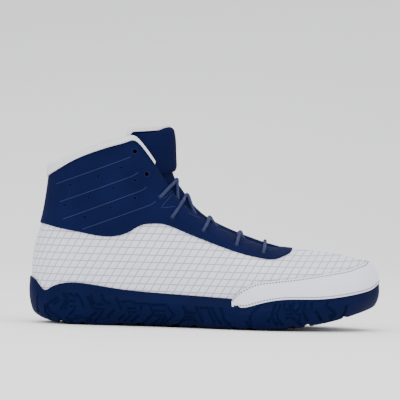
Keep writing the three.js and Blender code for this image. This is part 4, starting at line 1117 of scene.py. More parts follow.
# %% Build the sole
SOLE_COLUMNS = 520
WALL_ROWS = 56
UNDER_ROWS = 46
way = np.linspace(0, 1, SOLE_COLUMNS + 1)
down_rows = np.linspace(0, 1, WALL_ROWS + 1) ** 0.92


def wall_of(side):
    smooth_wall = wall_points(side * way, down_rows)
    along = np.gradient(smooth_wall, axis=0)
    rise = -np.gradient(smooth_wall, axis=1)
    outwards = unit(np.cross(along, rise) * side + 1e-9)
    x, z = smooth_wall[..., 0], smooth_wall[..., 2]
    depth = wall_tread(x, z, z[:, :1])
    blunt = share((down_rows[None, :] - 0.9) / 0.1)
    depth = depth * (1 - 0.6 * blunt)
    lifted = smooth_wall - outwards * depth[..., None]
    lug = lug_depth(x, smooth_wall[..., 1])
    lift = np.maximum(0, underside(x) + lug - lifted[..., 2])
    lifted[..., 2] += lift * (lug > 0.2)
    return lifted


def lining_of(side):
    up_top = up_at_line(side * way, wall_line)
    rows = [skin(side * way, part * up_top, CLEARANCE) for part in (1, 0.75, 0.5, 0.25, 0)]
    foot = rows[-1].copy()
    foot[:, 2] = floor_at(foot[:, 0])
    rim = skin(side * way, up_top, 0.5 * WALL_RIM + CLEARANCE)
    rim[:, 2] += 0.35
    return np.stack([rim, *rows, foot], axis=1)


inner_wall, outer_wall = wall_of(-1), wall_of(1)
bottom_shares = np.linspace(0, 1, UNDER_ROWS + 1)[1:-1]
bottom = mix(inner_wall[:, -1:, :], outer_wall[:, -1:, :], bottom_shares[None, :, None])
bottom[..., 2] = underside(bottom[..., 0]) + lug_depth(bottom[..., 0], bottom[..., 1])
inside_inner, inside_outer = lining_of(-1), lining_of(1)
floor_shares = np.linspace(0, 1, 9)[1:-1][None, :, None]
floor_rows = mix(inside_outer[:, -1:, :], inside_inner[:, -1:, :], floor_shares)
floor_rows[..., 2] = floor_at(floor_rows[..., 0])
section = np.concatenate(
    [
        inner_wall,
        bottom,
        outer_wall[:, ::-1],
        inside_outer,
        floor_rows,
        inside_inner[:, ::-1],
        inner_wall[:, :1],
    ],
    axis=1,
)
sole = laid_grid("rubber_sole", section.shape[0] - 1, section.shape[1] - 1, picked(section))
merge_doubles(sole)
finish_piece(sole, ["outsole"], [rubber], 35)

# %% [markdown]
# ## The boot
# The boot is a thin sewn shell. Its lower part is white coated textile with a printed, slightly
# pressed grid; higher up it is a plain dark backing under the suede; inside it is lined with a
# knit. One grid covers the whole last and gets its wall with Solidify. The lace holes are punched
# through shell and suede alike, with short rods that stand square to the surface. A boot could
# also be drawn out of a box by hand, but its printed lines would not run so evenly then.

# %% Cut cloth to the last
GIRTH_UP = 0.45
girth = np.linspace(0, 1, 301)
girth_reach = {side: arc_length(skin(side * girth, GIRTH_UP, 0)) for side in (-1, 1)}
whole_girth = girth_reach[1][-1] + girth_reach[-1][-1]
print("cloth round the whole boot:", round(float(whole_girth)), "mm")


def reach_at(around):
    """The length of material from the heel's middle, in millimetres: plus on the outer side."""
    size = np.abs(around)
    outer = np.interp(size, girth, girth_reach[1])
    inner = np.interp(size, girth, girth_reach[-1])
    return np.where(around >= 0, outer, -inner)


SIDE_START = 0.3
CLIMB_SHARE = 0.12


def cloth_coords(table, around):
    """A texture map in metres: round the heel by girth, and along the sides by plain length."""
    climb = arc_length(table, axis=1) + table[:, :1, 2]
    rise = mix(table[..., 2], climb, CLIMB_SHARE)
    near_heel = np.clip(around, -SIDE_START, SIDE_START)
    lean = table[..., 0] - skin(near_heel, GIRTH_UP, 0)[:, None, 0]
    reach = reach_at(near_heel)[:, None] + np.where(around < 0, -1, 1)[:, None] * lean
    return reach / 1000, rise / 1000


def covering(name, around, low, high, rows, lift):
    """A grid over the last between two heights on each ribbon, lifted by a number or a function."""
    up = mix(low[:, None], high[:, None], np.linspace(0, 1, rows + 1)[None, :])
    columns = np.broadcast_to(around[:, None], up.shape)
    out = lift(columns, up) if callable(lift) else lift
    table = skin(columns, up, out)
    u, v = cloth_coords(table, around)
    return laid_grid(
        name,
        len(around) - 1,
        rows,
        picked(table),
        lambda first, second: (picked(u)(first, second), picked(v)(first, second)),
    )


def paint_faces(piece, index, test):
    for face in piece.data.polygons:
        if test(face.center):
            face.material_index = index


def give_wall(piece, thickness, offset=-1.0, **settings):
    apply_modifier(piece, "SOLIDIFY", thickness=thickness / 1000, offset=offset, **settings)


def round_rims(piece, width, segments=3, angle=50):
    apply_modifier(
        piece,
        "BEVEL",
        width=width / 1000,
        segments=segments,
        limit_method="ANGLE",
        angle_limit=math.radians(angle),
    )


COAT_UNDERLAP = 3
BOOT_ROWS = 64
whole_ring = np.linspace(-1, 1, 449)
at_sole, at_top = np.zeros_like(whole_ring), np.ones_like(whole_ring)


def under_the_panel_line(place):
    return place.z * 1000 <= float(panel_line(place.x * 1000)) + COAT_UNDERLAP


boot = covering("boot_shell", whole_ring, at_sole, at_top, BOOT_ROWS, 0.0)
merge_doubles(boot)
for material in (backing, coated, lining):
    boot.data.materials.append(material)
paint_faces(boot, 1, under_the_panel_line)
give_wall(boot, UPPER_WALL, material_offset=2)

# %% [markdown]
# ## The suede ankle panel
# A second layer of dark suede covers the ankle and runs down both sides of the throat. It is cut
# from the same form a little further out, and its raw edge is rounded. Its short lines are pressed
# cords, so they are laid as thin threads half sunk in the face. Small breathing holes stand
# between them.

# %% Lace holes and rods to punch them
HOLES = [
    (0.289, 0.927 * COLLAR_HEIGHT),
    (0.324, 0.808 * COLLAR_HEIGHT),
    (0.364, 1.165 * INSTEP_HEIGHT),
    (0.401, 0.987 * INSTEP_HEIGHT),
    (0.491, 0.869 * INSTEP_HEIGHT),
    (0.586, 1.010 * VAMP_HEIGHT),
    (0.664, 0.922 * VAMP_HEIGHT),
]
PINHOLES = [
    (-112.0, 114.5),
    (-89.8, 122.6),
    (-71.0, 130.1),
    (-116.5, 97.8),
    (-97.2, 105.0),
    (-77.2, 113.0),
    (-59.6, 120.1),
    (-99.7, 88.8),
    (-79.2, 97.2),
    (-59.2, 105.6),
]
PINHOLE_DIAMETER = 1.9
ROD_LENGTH = 12
hole_places = [(along_x(row[0]), row[1]) for row in HOLES]
holes = {side: place_at(side, *zip(*hole_places)) for side in (-1, 1)}
pinholes = {side: place_at(side, *zip(*PINHOLES)) for side in (-1, 1)}


def square_to_skin(around, up):
    """The turn that stands a rod or a ring square to the last's surface."""
    return Vector(normal_at(around, up)).to_track_quat("Z", "Y").to_euler()


def joined(name, made):
    bpy.ops.object.select_all(action="DESELECT")
    for part in made:
        part.select_set(True)
    bpy.context.view_layer.objects.active = made[0]
    bpy.ops.object.join()
    made[0].name = name
    return made[0]


def rods(name, places, diameter, sides):
    """Short rods through the wall, joined into one piece to cut with."""
    made = []
    for around, up in places:
        bpy.ops.mesh.primitive_cylinder_add(
            vertices=sides,
            radius=diameter / 2000,
            depth=ROD_LENGTH / 1000,
            location=to_frame(skin(around, up, 0.0)),
            rotation=square_to_skin(around, up),
        )
        made.append(bpy.context.object)
    return joined(name, made)


def punch(piece, cutter):
    apply_modifier(piece, "BOOLEAN", object=cutter, operation="DIFFERENCE", solver="MANIFOLD")


both = lambda places: [pair for side in (-1, 1) for pair in zip(*places[side])]
lace_rods = rods("lace_rods", both(holes), HOLE_DIAMETER, 28)
pin_rods = rods("pin_rods", both(pinholes), PINHOLE_DIAMETER, 16)
punch(boot, lace_rods)
finish_piece(boot, ["upper"], [], 40)

# %% Lay the suede
PANEL_BASE = 0.1
PANEL_FACE = 1.45
PANEL_ROWS = 44
SKIVED_AWAY = 0.8
LACE_RIM, PIN_RIM = 0.34, 0.2
panel_low = up_at_line(whole_ring, panel_line)


def skived(around, up):
    """The suede's face over the last: it is pared thinner at its tip over the vamp."""
    return PANEL_FACE - SKIVED_AWAY * smooth(share((np.abs(around) - 0.88) / 0.1))


ankle = covering("ankle_wrap", whole_ring, panel_low, at_top, PANEL_ROWS, skived)
merge_doubles(ankle)
ankle.data.materials.append(suede)
give_wall(ankle, PANEL_FACE - PANEL_BASE)
round_rims(ankle, 0.55)
punch(ankle, lace_rods)
punch(ankle, pin_rods)
# Raised rings stand round every lace hole and breathing hole; their lighter navy than the suede is
# a painted highlight.
rims = []
rim_sizes = ((holes, HOLE_DIAMETER, LACE_RIM), (pinholes, PINHOLE_DIAMETER, PIN_RIM))
for places, diameter, thread in rim_sizes:
    for around, up in both(places):
        bpy.ops.mesh.primitive_torus_add(
            major_segments=28,
            minor_segments=6,
            major_radius=(diameter / 2 + 0.15) / 1000,
            minor_radius=thread / 1000,
            location=to_frame(skin(around, up, PANEL_FACE - 0.02)),
            rotation=square_to_skin(around, up),
        )
        rims.append(bpy.context.object)
for rod_set in (lace_rods, pin_rods):
    bpy.data.objects.remove(rod_set)
finish_piece(ankle, ["ankle_panel"], [], 40)
hole_rims = joined("hole_rims", rims)
bpy.ops.object.transform_apply(location=True, rotation=True, scale=True)
finish_piece(hole_rims, [], [rim_highlight_suede], 60)


# %% [markdown]
# ## Threads
# Pressed cords, stitches and laces are all round threads, thick or thin. A curve with a bevel could
# make them, but a grid wound round the path has half-round ends and a texture map along its
# length, so one helper serves them all. The ankle panel's pressed lines are the first to use it.

# %% A round thread along any path
def even_path(points, count):
    """The same path with evenly spaced points, through a smooth curve."""
    points = np.asarray(points, float)
    reach = arc_length(points)
    curves = [curve_through(reach, points[:, axis]) for axis in range(3)]
    fine = np.stack([curve(np.linspace(0, reach[-1], 8 * count)) for curve in curves], axis=1)
    true_reach = arc_length(fine)
    stations = np.linspace(0, true_reach[-1], count)
    return np.stack([np.interp(stations, true_reach, fine[:, axis]) for axis in range(3)], axis=1)


def round_ended(path, radius):
    """Adds rings to both ends, so that the thread closes in half a ball."""
    reach = arc_length(path)
    total = reach[-1]
    turns = np.radians([2, 30, 60])
    caps = radius * (1 - np.cos(turns))
    inner = np.linspace(radius, total - radius, max(2, len(path)))
    stations = np.concatenate([caps, inner, total - caps[::-1]])
    cap_radii = radius * np.sin(turns)
    radii = np.concatenate([cap_radii, np.full(len(inner), radius), cap_radii[::-1]])
    middle = np.stack([np.interp(stations, reach, path[:, axis]) for axis in range(3)], axis=1)
    return middle, radii


def laid_thread(name, path, radius, sides=8):
    """A round thread along a path. Its rings are carried along without twist."""
    middle, radii = round_ended(path, radius)
    heading = unit(np.gradient(middle, axis=0))
    first = np.cross(heading[0], [0.31, 0.92, 0.24])
    frames = [first / np.linalg.norm(first)]
    for turn_to in heading[1:]:
        carried = frames[-1] - turn_to * np.dot(frames[-1], turn_to)
        frames.append(carried / np.linalg.norm(carried))
    up = np.array(frames)
    side = np.cross(heading, up)
    angle = np.linspace(0, 2 * np.pi, sides + 1)
    ring = np.cos(angle)[None, :, None] * up[:, None, :]
    ring = ring + np.sin(angle)[None, :, None] * side[:, None, :]
    table = middle[:, None, :] + radii[:, None, None] * ring
    reach = arc_length(middle)[:, None] / 1000 + 0 * angle[None, :]
    turn_share = np.linspace(0, 1, sides + 1)[None, :] + 0 * reach
    thread = laid_grid(
        name,
        len(middle) - 1,
        sides,
        picked(table),
        lambda first, second: (picked(reach)(first, second), picked(turn_share)(first, second)),
    )
    bpy.ops.object.mode_set(mode="EDIT")
    bpy.ops.mesh.select_all(action="SELECT")
    bpy.ops.mesh.remove_doubles(threshold=MERGE_DISTANCE)
    bpy.ops.mesh.select_non_manifold()
    bpy.ops.mesh.fill_holes(sides=0)
    bpy.ops.mesh.select_all(action="SELECT")
    bpy.ops.mesh.normals_make_consistent(inside=False)
    bpy.ops.object.mode_set(mode="OBJECT")
    return thread


# %% Pressed lines of the ankle panel
LINE_RADIUS = 0.3
STROKE_RADIUS = 0.24
POINT_SPACING = 2.5
HIGHEST_UP = 0.985
PRESSED_LINES = [
    [(-123.5, 115.1), (-93.7, 127.1), (-63.8, 139.1)],
    [(-120.2, 100.4), (-90.0, 112.4), (-61.0, 123.8), (-57.3, 126.7)],
    [(-117.5, 86.3), (-84.0, 99.8), (-53.0, 112.2), (-50.1, 114.8)],
    [(-101.5, 78.7), (-72.0, 90.2), (-45.2, 100.6), (-42.5, 103.1)],
]
THROAT_STROKES = [
    [(-29.8, 108.4), (-38.5, 97.7), (-26.7, 98.9)],
    [(-36.8, 104.8), (-30.3, 111.1)],
    [(-15.6, 93.1), (-6.0, 89.1)],
    [(7.6, 80.4), (18.1, 77.8)],
    [(29.7, 70.1), (40.7, 69.4)],
    [(50.9, 64.0), (62.2, 65.3)],
]


def line_on_skin(side, corners, out):
    """Points over the last along a line with corners that the side view shows."""
    x, z = [np.array(values) for values in zip(*corners)]
    reach = arc_length(np.stack([x, z], axis=1))
    count = max(4, int(reach[-1] / POINT_SPACING))
    stations = np.linspace(0, reach[-1], count)
    around, up = place_at(side, np.interp(stations, reach, x), np.interp(stations, reach, z))
    return skin(around, np.minimum(up, HIGHEST_UP), out)


marks = [(line, LINE_RADIUS) for line in PRESSED_LINES]
marks += [(line, STROKE_RADIUS) for line in THROAT_STROKES]
threads = []
for side in (-1, 1):
    for corners, radius in marks:
        path = line_on_skin(side, corners, PANEL_FACE + 0.02)
        threads.append(laid_thread(f"pressed_{len(threads)}", path, radius))
lines = joined("pressed_lines", threads)
finish_piece(lines, [], [line_thread], 60)

# %% [markdown]
# ## The toe guard
# Wrestlers drag their toes, so a piece of smooth leather wraps the toe just above the rubber. Its
# cut edge is sewn down with dark thread: the stitches are one short capsule, repeated along both
# edges at an even pitch. A finer row follows the upper edge on the textile.

# %% Wrap the toe
OVERLAY_BASE = 0.1
OVERLAY_FACE = 1.65
OVERLAY_TIP = float(place_at(1, along_x(0.581), 0.310 * VAMP_HEIGHT)[0][0])
GUARD_ROWS = 36
toe_ring = np.linspace(OVERLAY_TIP, 2 - OVERLAY_TIP, 321)
toe_ring_wrapped = np.where(toe_ring > 1, toe_ring - 2, toe_ring)
GUARD_BOTTOM = [
    (0.575, 0.600 * WALL_HEIGHT),
    (0.583, 0.566 * WALL_HEIGHT),
    (0.595, 0.548 * WALL_HEIGHT),
] + [(along, height + 0.5) for along, height in WALL_LINE if along > 0.61]
guard_bottom = side_line(GUARD_BOTTOM)
guard_low = up_at_line(toe_ring_wrapped, guard_bottom)
guard_high = np.maximum(guard_low + 0.006, up_at_line(toe_ring_wrapped, overlay_line))
TIP_LIFT = 2.8


def guard_lift(around, up):
    """The guard's face over the last: its two tips rise to lie over the rubber's edge."""
    tip = share((along_x(0.602) - ribbon(around, up)[..., 0]) / 5.5)
    return OVERLAY_FACE + TIP_LIFT * smooth(tip)


guard = covering("toe_guard", toe_ring_wrapped, guard_low, guard_high, GUARD_ROWS, guard_lift)
for material in (overlay_leather, cut_edge):
    guard.data.materials.append(material)
give_wall(guard, OVERLAY_FACE - OVERLAY_BASE, material_offset_rim=1)
round_rims(guard, 0.45)
finish_piece(guard, ["toe_overlay"], [], 40)


# %% Sew both edges
STITCH_PITCH = 2.5
STITCH_LENGTH = 1.5
STITCH_RADIUS = 0.42
FINE_PITCH = 2.1
FINE_LENGTH = 1.0
FINE_RADIUS = 0.17


def seam(around, up, out, pitch):
    """The places and turns of the stitches along a line on the last."""
    path = skin(around, up, out)
    facing = normal_at(around, up)
    reach = arc_length(path)

    def at(where, values):
        return np.array([np.interp(where, reach, values[:, axis]) for axis in range(3)])

    made = []
    for middle in np.arange(pitch, reach[-1] - pitch, pitch):
        ahead = Vector(at(middle + 0.5, path) - at(middle - 0.5, path)).normalized()
        lift = Vector(at(middle, facing)).normalized()
        across = lift.cross(ahead).normalized()
        turned = Matrix((ahead, across, lift)).transposed().to_4x4()
        made.append(Matrix.Translation(to_frame(at(middle, path))) @ turned)
    return made


def sew(name, places, length, radius):
    """One capsule, made once and copied to every place of a seam."""
    ends = np.array([[-length / 2, 0, 0], [0, 0, 0], [length / 2, 0, 0]])
    stitch = laid_thread(f"{name}_stitch", ends - shoe_shift, radius, 6)
    copies = []
    for place in places:
        copy = stitch.copy()
        copy.data = stitch.data.copy()
        copy.matrix_world = place
        bpy.context.collection.objects.link(copy)
        copies.append(copy)
    bpy.data.objects.remove(stitch)
    row = joined(name, copies)
    bpy.ops.object.transform_apply(location=True, rotation=True, scale=True)
    return row


guard_span = np.linalg.norm(
    skin(toe_ring_wrapped, guard_high, 0) - skin(toe_ring_wrapped, guard_low, 0), axis=1
)
wide_enough = guard_span > 3.0
inset = (guard_high - guard_low) * 1.4 / guard_span
sewn_ring = toe_ring_wrapped[wide_enough]
upper_line = (guard_high - inset)[wide_enough]
lower_line = (guard_low + 1.1 * inset)[wide_enough]
places = []
for line in (upper_line, lower_line):
    places += seam(sewn_ring, line, guard_lift(sewn_ring, line) + 0.05, STITCH_PITCH)
guard_seam = sew("guard_stitches", places, STITCH_LENGTH, STITCH_RADIUS)
finish_piece(guard_seam, [], [stitch_thread], 60)
print("stitches on the toe guard:", len(places))

fine_ring = sewn_ring[np.abs(sewn_ring) > 0.66]
fine_line = up_at_line(fine_ring, overlay_line, 1.6)
fine_places = seam(fine_ring, fine_line, 0.06, FINE_PITCH)
fine_seam = sew("fine_stitches", fine_places, FINE_LENGTH, FINE_RADIUS)
finish_piece(fine_seam, [], [faint_thread], 60)

# %% [markdown]
# ## The collar tape
# A soft tape is folded over the raw top edge of the collar and filled out by the padding under it.
# In cross-section it is a fat U. Its middle line is drawn first, from low outside over the edge to
# low inside, and Solidify gives it its body; its depth grows towards the heel. A curve with a
# bevel could do for it, but its section would turn where the collar bends.

# %% Fold the tape
BINDING_DEPTHS = [
    (0.000, 1.00),
    (0.054, 0.82),
    (0.106, 0.46),
    (0.169, 0.26),
    (0.259, 0.19),
    (0.320, 0.19),
    (0.350, 0.22),
    (0.375, 0.25),
    (0.410, 0.25),
]
BINDING_END = BINDING_DEPTHS[-1][0]
BINDING_WALL = 1.5
CURVED_CLEARANCE = 0.45
FAR_DEPTH = 0.66
outer_knots, outer_depths = zip(*BINDING_DEPTHS)
inner_knots = [-knot for knot in reversed(outer_knots[1:])]
inner_depths = outer_depths[:0:-1]
tape_depth = curve_through(
    [-1, *inner_knots, *outer_knots, 1], [FAR_DEPTH, *inner_depths, *outer_depths, FAR_DEPTH]
)
tape_ring = np.linspace(-BINDING_END, BINDING_END, 321)
tape_low = up_at_height(tape_ring, top_z(tape_ring) - BINDING_DEPTH * tape_depth(tape_ring))
tape_out = PANEL_FACE + CURVED_CLEARANCE
tape_in = -UPPER_WALL - CURVED_CLEARANCE
edge_rise = unit(ribbon(tape_ring, 1) - ribbon(tape_ring, 0.99))
edge_normal = normal_at(tape_ring, 1)
over = lambda out, rise: ribbon(tape_ring, 1) + edge_normal * out + edge_rise * rise
half_wall = BINDING_WALL / 2
tape_middle = (tape_low + 1) / 2
tape_points = [
    skin(tape_ring, tape_low, tape_out + 0.2),
    skin(tape_ring, tape_middle, tape_out + half_wall),
    over(tape_out + 0.8 * half_wall, -0.4),
    over(mix(tape_out, tape_in, 0.22), CURVED_CLEARANCE + 0.75 * half_wall),
    over(mix(tape_out, tape_in, 0.5), CURVED_CLEARANCE + 1.15 * half_wall),
    over(mix(tape_out, tape_in, 0.78), CURVED_CLEARANCE + 0.75 * half_wall),
    over(tape_in - 0.8 * half_wall, -0.4),
    skin(tape_ring, tape_middle, tape_in - half_wall),
    skin(tape_ring, tape_low, tape_in - 0.2),
]
TAPE_ROWS = 32


def rounded_profile(points, rows):
    """A smooth curve across every column of a list of rows of points."""
    knots = np.linspace(0, 1, len(points))
    stack = np.stack(points, axis=0)
    shape = stack.shape
    values = stack.reshape(shape[0], -1)
    where = np.linspace(0, 1, rows + 1)
    curves = np.stack([curve_through(knots, column)(where) for column in values.T], axis=1)
    return curves.reshape(rows + 1, shape[1], 3).transpose(1, 0, 2)


def sheet_of(name, table):
    """A grid over a table of points, with a texture map in metres from the table's own lengths."""
    u = arc_length(table, axis=0)[:, table.shape[1] // 2][:, None] + 0 * table[..., 0]
    v = arc_length(table, axis=1)
    return laid_grid(
        name,
        table.shape[0] - 1,
        table.shape[1] - 1,
        picked(table),
        lambda first, second: (picked(u / 1000)(first, second), picked(v / 1000)(first, second)),
    )


collar = sheet_of("collar_tape", rounded_profile(tape_points, TAPE_ROWS)[:, ::-1])
give_wall(collar, BINDING_WALL, offset=0.0)
round_rims(collar, 0.6, 3, 60)
finish_piece(collar, ["collar_binding"], [tape], 50)

# %% [markdown]
# ## The tongue
# The tongue is a loose padded sheet under the laces. Its middle follows the ridge that the side
# view shows, and its wings lie under the throat's edges. It is worked out once as a fine table of
# points, and the cushion on its upper end, the tape over its top and the laces are all placed from
# that table.

# %% The tongue's surface
CORNER_AROUND = 0.36
TONGUE_CORNER = 0.86
TONGUE_EDGE = 0.62
TONGUE_TOP_ALONG = 0.38
TONGUE_CLEARANCE = 0.8
TONGUE_FACE_CLEARANCE = 0.65
UNDER = -UPPER_WALL - TONGUE_CLEARANCE
TONGUE_RIDGE = [
    (0.940, 0.7130, 1.007 * VAMP_HEIGHT),
    (0.880, 0.7035, 1.020 * VAMP_HEIGHT),
    (0.840, 0.6913, 1.034 * VAMP_HEIGHT),
    (0.802, 0.6704, 1.056 * VAMP_HEIGHT),
    (0.762, 0.6426, 1.093 * VAMP_HEIGHT),
    (0.720, 0.6078, 0.844 * INSTEP_HEIGHT),
    (0.680, 0.5696, 0.890 * INSTEP_HEIGHT),
    (0.635, 0.5313, 0.943 * INSTEP_HEIGHT),
    (0.590, 0.4878, 1.024 * INSTEP_HEIGHT),
    (0.545, 0.4530, 1.130 * INSTEP_HEIGHT),
    (0.500, 0.4280, 0.728 * COLLAR_HEIGHT),
    (0.450, 0.4030, 0.800 * COLLAR_HEIGHT),
    (0.400, 0.3930, 0.890 * COLLAR_HEIGHT),
    (0.360, 0.3905, 0.970 * COLLAR_HEIGHT),
]


def way_of(around):
    return TONGUE_CORNER * (1 - around) / (1 - CORNER_AROUND)


ridge_ways = [0, *[way_of(row[0]) for row in TONGUE_RIDGE], 1]
ridge_x = curve_through(
    ridge_ways, [top_x(1), *[along_x(row[1]) for row in TONGUE_RIDGE], along_x(TONGUE_TOP_ALONG)]
)
ridge_z = curve_through(
    ridge_ways, [top_z(1) + UNDER, *[row[2] for row in TONGUE_RIDGE], COLLAR_HEIGHT + TONGUE_RISE]
)


def under_at(around):
    tucked = smooth(share((BINDING_END + 0.06 - around) / 0.04))
    return UNDER - tucked * (BINDING_WALL + CLEARANCE)


def at_height(around, height, out):
    """A point over one place of the last at a height, carried on straight above the top edge."""
    top = ribbon(around, 1)
    low = skin(around, up_at_height(around, height), out)
    rise = top - ribbon(around, 0.97)
    beyond = ((height - top[..., 2]) / rise[..., 2])[..., None]
    high = top + rise * beyond + normal_at(around, 1) * np.asarray(out)[..., None]
    return np.where((height <= top[..., 2])[..., None], low, high)


def wing(side, way, reach):
    """The part of the tongue that lies under a throat edge."""
    around = 1 - np.minimum(way, TONGUE_CORNER) / TONGUE_CORNER * (1 - CORNER_AROUND)
    past = np.maximum(0, way - TONGUE_CORNER) / (1 - TONGUE_CORNER)
    back = smooth(share((0.56 - around) / 0.12))
    length = reach * TONGUE_UNDERLAP * (1 - 0.6 * smooth(share(past * 1.2)))
    scale = np.linalg.norm(ribbon(side * around, 0.8) - ribbon(side * around, 1), axis=-1)
    low = skin(side * around, 1 - length / scale * 0.2, under_at(around))
    place = side * (around - back * length / half_outline - past * 0.02)
    edge = top_z(side * around)
    top_height = COLLAR_HEIGHT + TONGUE_RISE * (0.82 - 0.75 * reach**2)
    height = mix(edge - length * (1 - back), top_height, past)
    high = at_height(place, height, under_at(around) - past * 1.5 * BINDING_WALL)
    return np.where((back == 0)[..., None], low, high)


def tongue_points(way, across):
    side = np.where(across < 0, -1, 1)
    reach = np.abs(across)
    outer = wing(side, way, np.maximum(0, (reach - TONGUE_EDGE) / (1 - TONGUE_EDGE)))
    edge = wing(side, way, 0 * way)
    heading = unit(edge - wing(side, way, 0 * way + 0.1))
    along = share((ridge_x(way) + LAST_LENGTH / 2) / LAST_LENGTH)
    ridge = points_of(ridge_x(way), throat_centre(along), ridge_z(way))
    span = np.linalg.norm(edge - ridge, axis=-1)[..., None]
    t = (1 - np.minimum(1, reach / TONGUE_EDGE))[..., None]
    sideways = points_of(0, side, 0)
    middle = (
        edge * (1 + 2 * t) * (1 - t) ** 2
        + heading * t * (1 - t) ** 2 * span
        + ridge * t * t * (3 - 2 * t)
        + sideways * t * t * (t - 1) * span
    )
    return np.where((reach > TONGUE_EDGE)[..., None], outer, middle)


TONGUE_WAYS, TONGUE_ACROSS = 161, 97
FIRST_WAY = 0.02
way_rows = np.linspace(FIRST_WAY, 1, TONGUE_WAYS)
across_rows = np.linspace(-1, 1, TONGUE_ACROSS)
way_grid, across_grid = np.meshgrid(way_rows, across_rows, indexing="ij")
tongue_table = tongue_points(way_grid.ravel(), across_grid.ravel()).reshape(*way_grid.shape, 3)
tongue_normals = unit(
    np.cross(np.gradient(tongue_table, axis=0), np.gradient(tongue_table, axis=1))
)
middle_way, middle_across = TONGUE_WAYS // 2, TONGUE_ACROSS // 2
if tongue_normals[middle_way, middle_across, 2] < 0:
    tongue_normals = -tongue_normals
tongue_line = tongue_table[:, middle_across].round(1)
print("tongue from", tongue_line[0], "to", tongue_line[-1])


def table_at(table, way, across):
    """A value between the rows of a table of the tongue."""
    i = share((np.asarray(way) - FIRST_WAY) / (1 - FIRST_WAY)) * (TONGUE_WAYS - 1)
    j = share((np.asarray(across) + 1) / 2) * (TONGUE_ACROSS - 1)
    i0 = np.clip(np.floor(i).astype(int), 0, TONGUE_WAYS - 2)
    j0 = np.clip(np.floor(j).astype(int), 0, TONGUE_ACROSS - 2)
    s, t = (i - i0)[..., None], (j - j0)[..., None]
    low = mix(table[i0, j0], table[i0 + 1, j0], s)
    high = mix(table[i0, j0 + 1], table[i0 + 1, j0 + 1], s)
    return mix(low, high, t)


def tongue_skin(way, across, out):
    way, across, out = np.broadcast_arrays(way, across, out)
    normal = unit(table_at(tongue_normals, way, across))
    return table_at(tongue_table, way, across) + normal * np.asarray(out, float)[..., None]


# %% [markdown]
# ## Sheet, footbed and tongue tape
# The tongue's table becomes a sheet with a wall. The footbed is a second sheet, stretched between
# the boot's two lower edges. The tongue's top edge is folded into the same tape as the collar, so
# that both look cut from one roll.

# %% Sheet, insole and tongue tape
tongue_piece = sheet_of("tongue_sheet", tongue_table)
give_wall(tongue_piece, TONGUE_WALL)
round_rims(tongue_piece, 1.0, 3, 60)
finish_piece(tongue_piece, ["tongue"], [tongue_cloth], 50)

INSOLE_THICKNESS = 3
insole_way = np.linspace(0.01, 0.99, 121)
insole_edges = [skin(side * insole_way, 0, -UPPER_WALL - 2 * CLEARANCE) for side in (-1, 1)]
insole_shares = np.linspace(0, 1, 25)[None, :, None]
insole_table = mix(insole_edges[0][:, None, :], insole_edges[1][:, None, :], insole_shares)
insole_table[..., 2] = floor_at(insole_table[..., 0]) + CLEARANCE + INSOLE_THICKNESS
footbed = sheet_of("inner_sole", insole_table[:, ::-1])
give_wall(footbed, INSOLE_THICKNESS)
round_rims(footbed, 0.7, 2, 60)
finish_piece(footbed, ["insole"], [insole_cloth], 50)

TRIM_START = 0.965
TRIM_REACH = 0.965
TRIM_ROWS = 28
trim_across = np.linspace(-TRIM_REACH, TRIM_REACH, TONGUE_ACROSS)
trim_edge = table_at(tongue_table, 1.0, trim_across)
trim_rise = unit(trim_edge - table_at(tongue_table, 0.98, trim_across))
trim_over = lambda out, rise: tongue_skin(1.0, trim_across, out) + trim_rise * rise
trim_back = -TONGUE_WALL - CURVED_CLEARANCE
trim_front = TONGUE_FACE_CLEARANCE
trim_points = [
    tongue_skin(TRIM_START, trim_across, trim_front + 0.2),
    tongue_skin(mix(TRIM_START, 1, 0.6), trim_across, trim_front + half_wall),
    trim_over(trim_front + 0.8 * half_wall, -0.3),
    trim_over(mix(trim_front, trim_back, 0.25), CLEARANCE + 0.9 * half_wall),
    trim_over(mix(trim_front, trim_back, 0.5), CLEARANCE + 1.3 * half_wall),
    trim_over(mix(trim_front, trim_back, 0.75), CLEARANCE + 0.9 * half_wall),
    trim_over(trim_back - 0.8 * half_wall, -0.3),
    tongue_skin(mix(TRIM_START, 1, 0.6), trim_across, trim_back - half_wall),
    tongue_skin(TRIM_START, trim_across, trim_back - 0.2),
]
trim = sheet_of("tongue_tape", rounded_profile(trim_points, TRIM_ROWS))
give_wall(trim, BINDING_WALL, offset=0.0)
round_rims(trim, 0.6, 3, 60)
finish_piece(trim, ["tongue_binding"], [tape], 50)

# %% [markdown]
# ## The tongue's cushion
# A stuffed pad covers the upper end of the tongue. It is laid as a closed skin: its face swells
# over the tongue by a formula and falls off round its seams, as real padding does, and its back
# lies flat on the tongue. A cloth simulation could fill it as well, but the formula is quick and
# gives the same pad each time.

# %% Lay the cushion
PAD_START, PAD_REACH = 0.757, 0.62
PAD_THICKNESS = 3.6
PAD_SEAM = 0.4
pad_shares, pad_across = np.meshgrid(
    np.linspace(0, 1, 71), np.linspace(-PAD_REACH, PAD_REACH, 81), indexing="ij"
)
pad_middle = 1 - smooth(share((np.abs(pad_across) - 0.12) / 0.30))
pad_ways = mix(PAD_START, 0.95 + 0.035 * pad_middle, pad_shares)


def pad_crown(shares, across):
    """The cushion's height over the tongue: round at its sides and ends."""
    side_fall = np.maximum(0, 1 - (np.abs(across) / PAD_REACH) ** 2.2)
    low_end = np.maximum(0, 1 - (1 - np.minimum(1, shares / 0.16)) ** 2)
    high_end = np.maximum(0, 1 - (1 - np.minimum(1, (1 - shares) / 0.22)) ** 2)
    swell = PAD_THICKNESS * np.sqrt(side_fall * low_end * high_end)
    return PAD_SEAM + TONGUE_FACE_CLEARANCE + swell


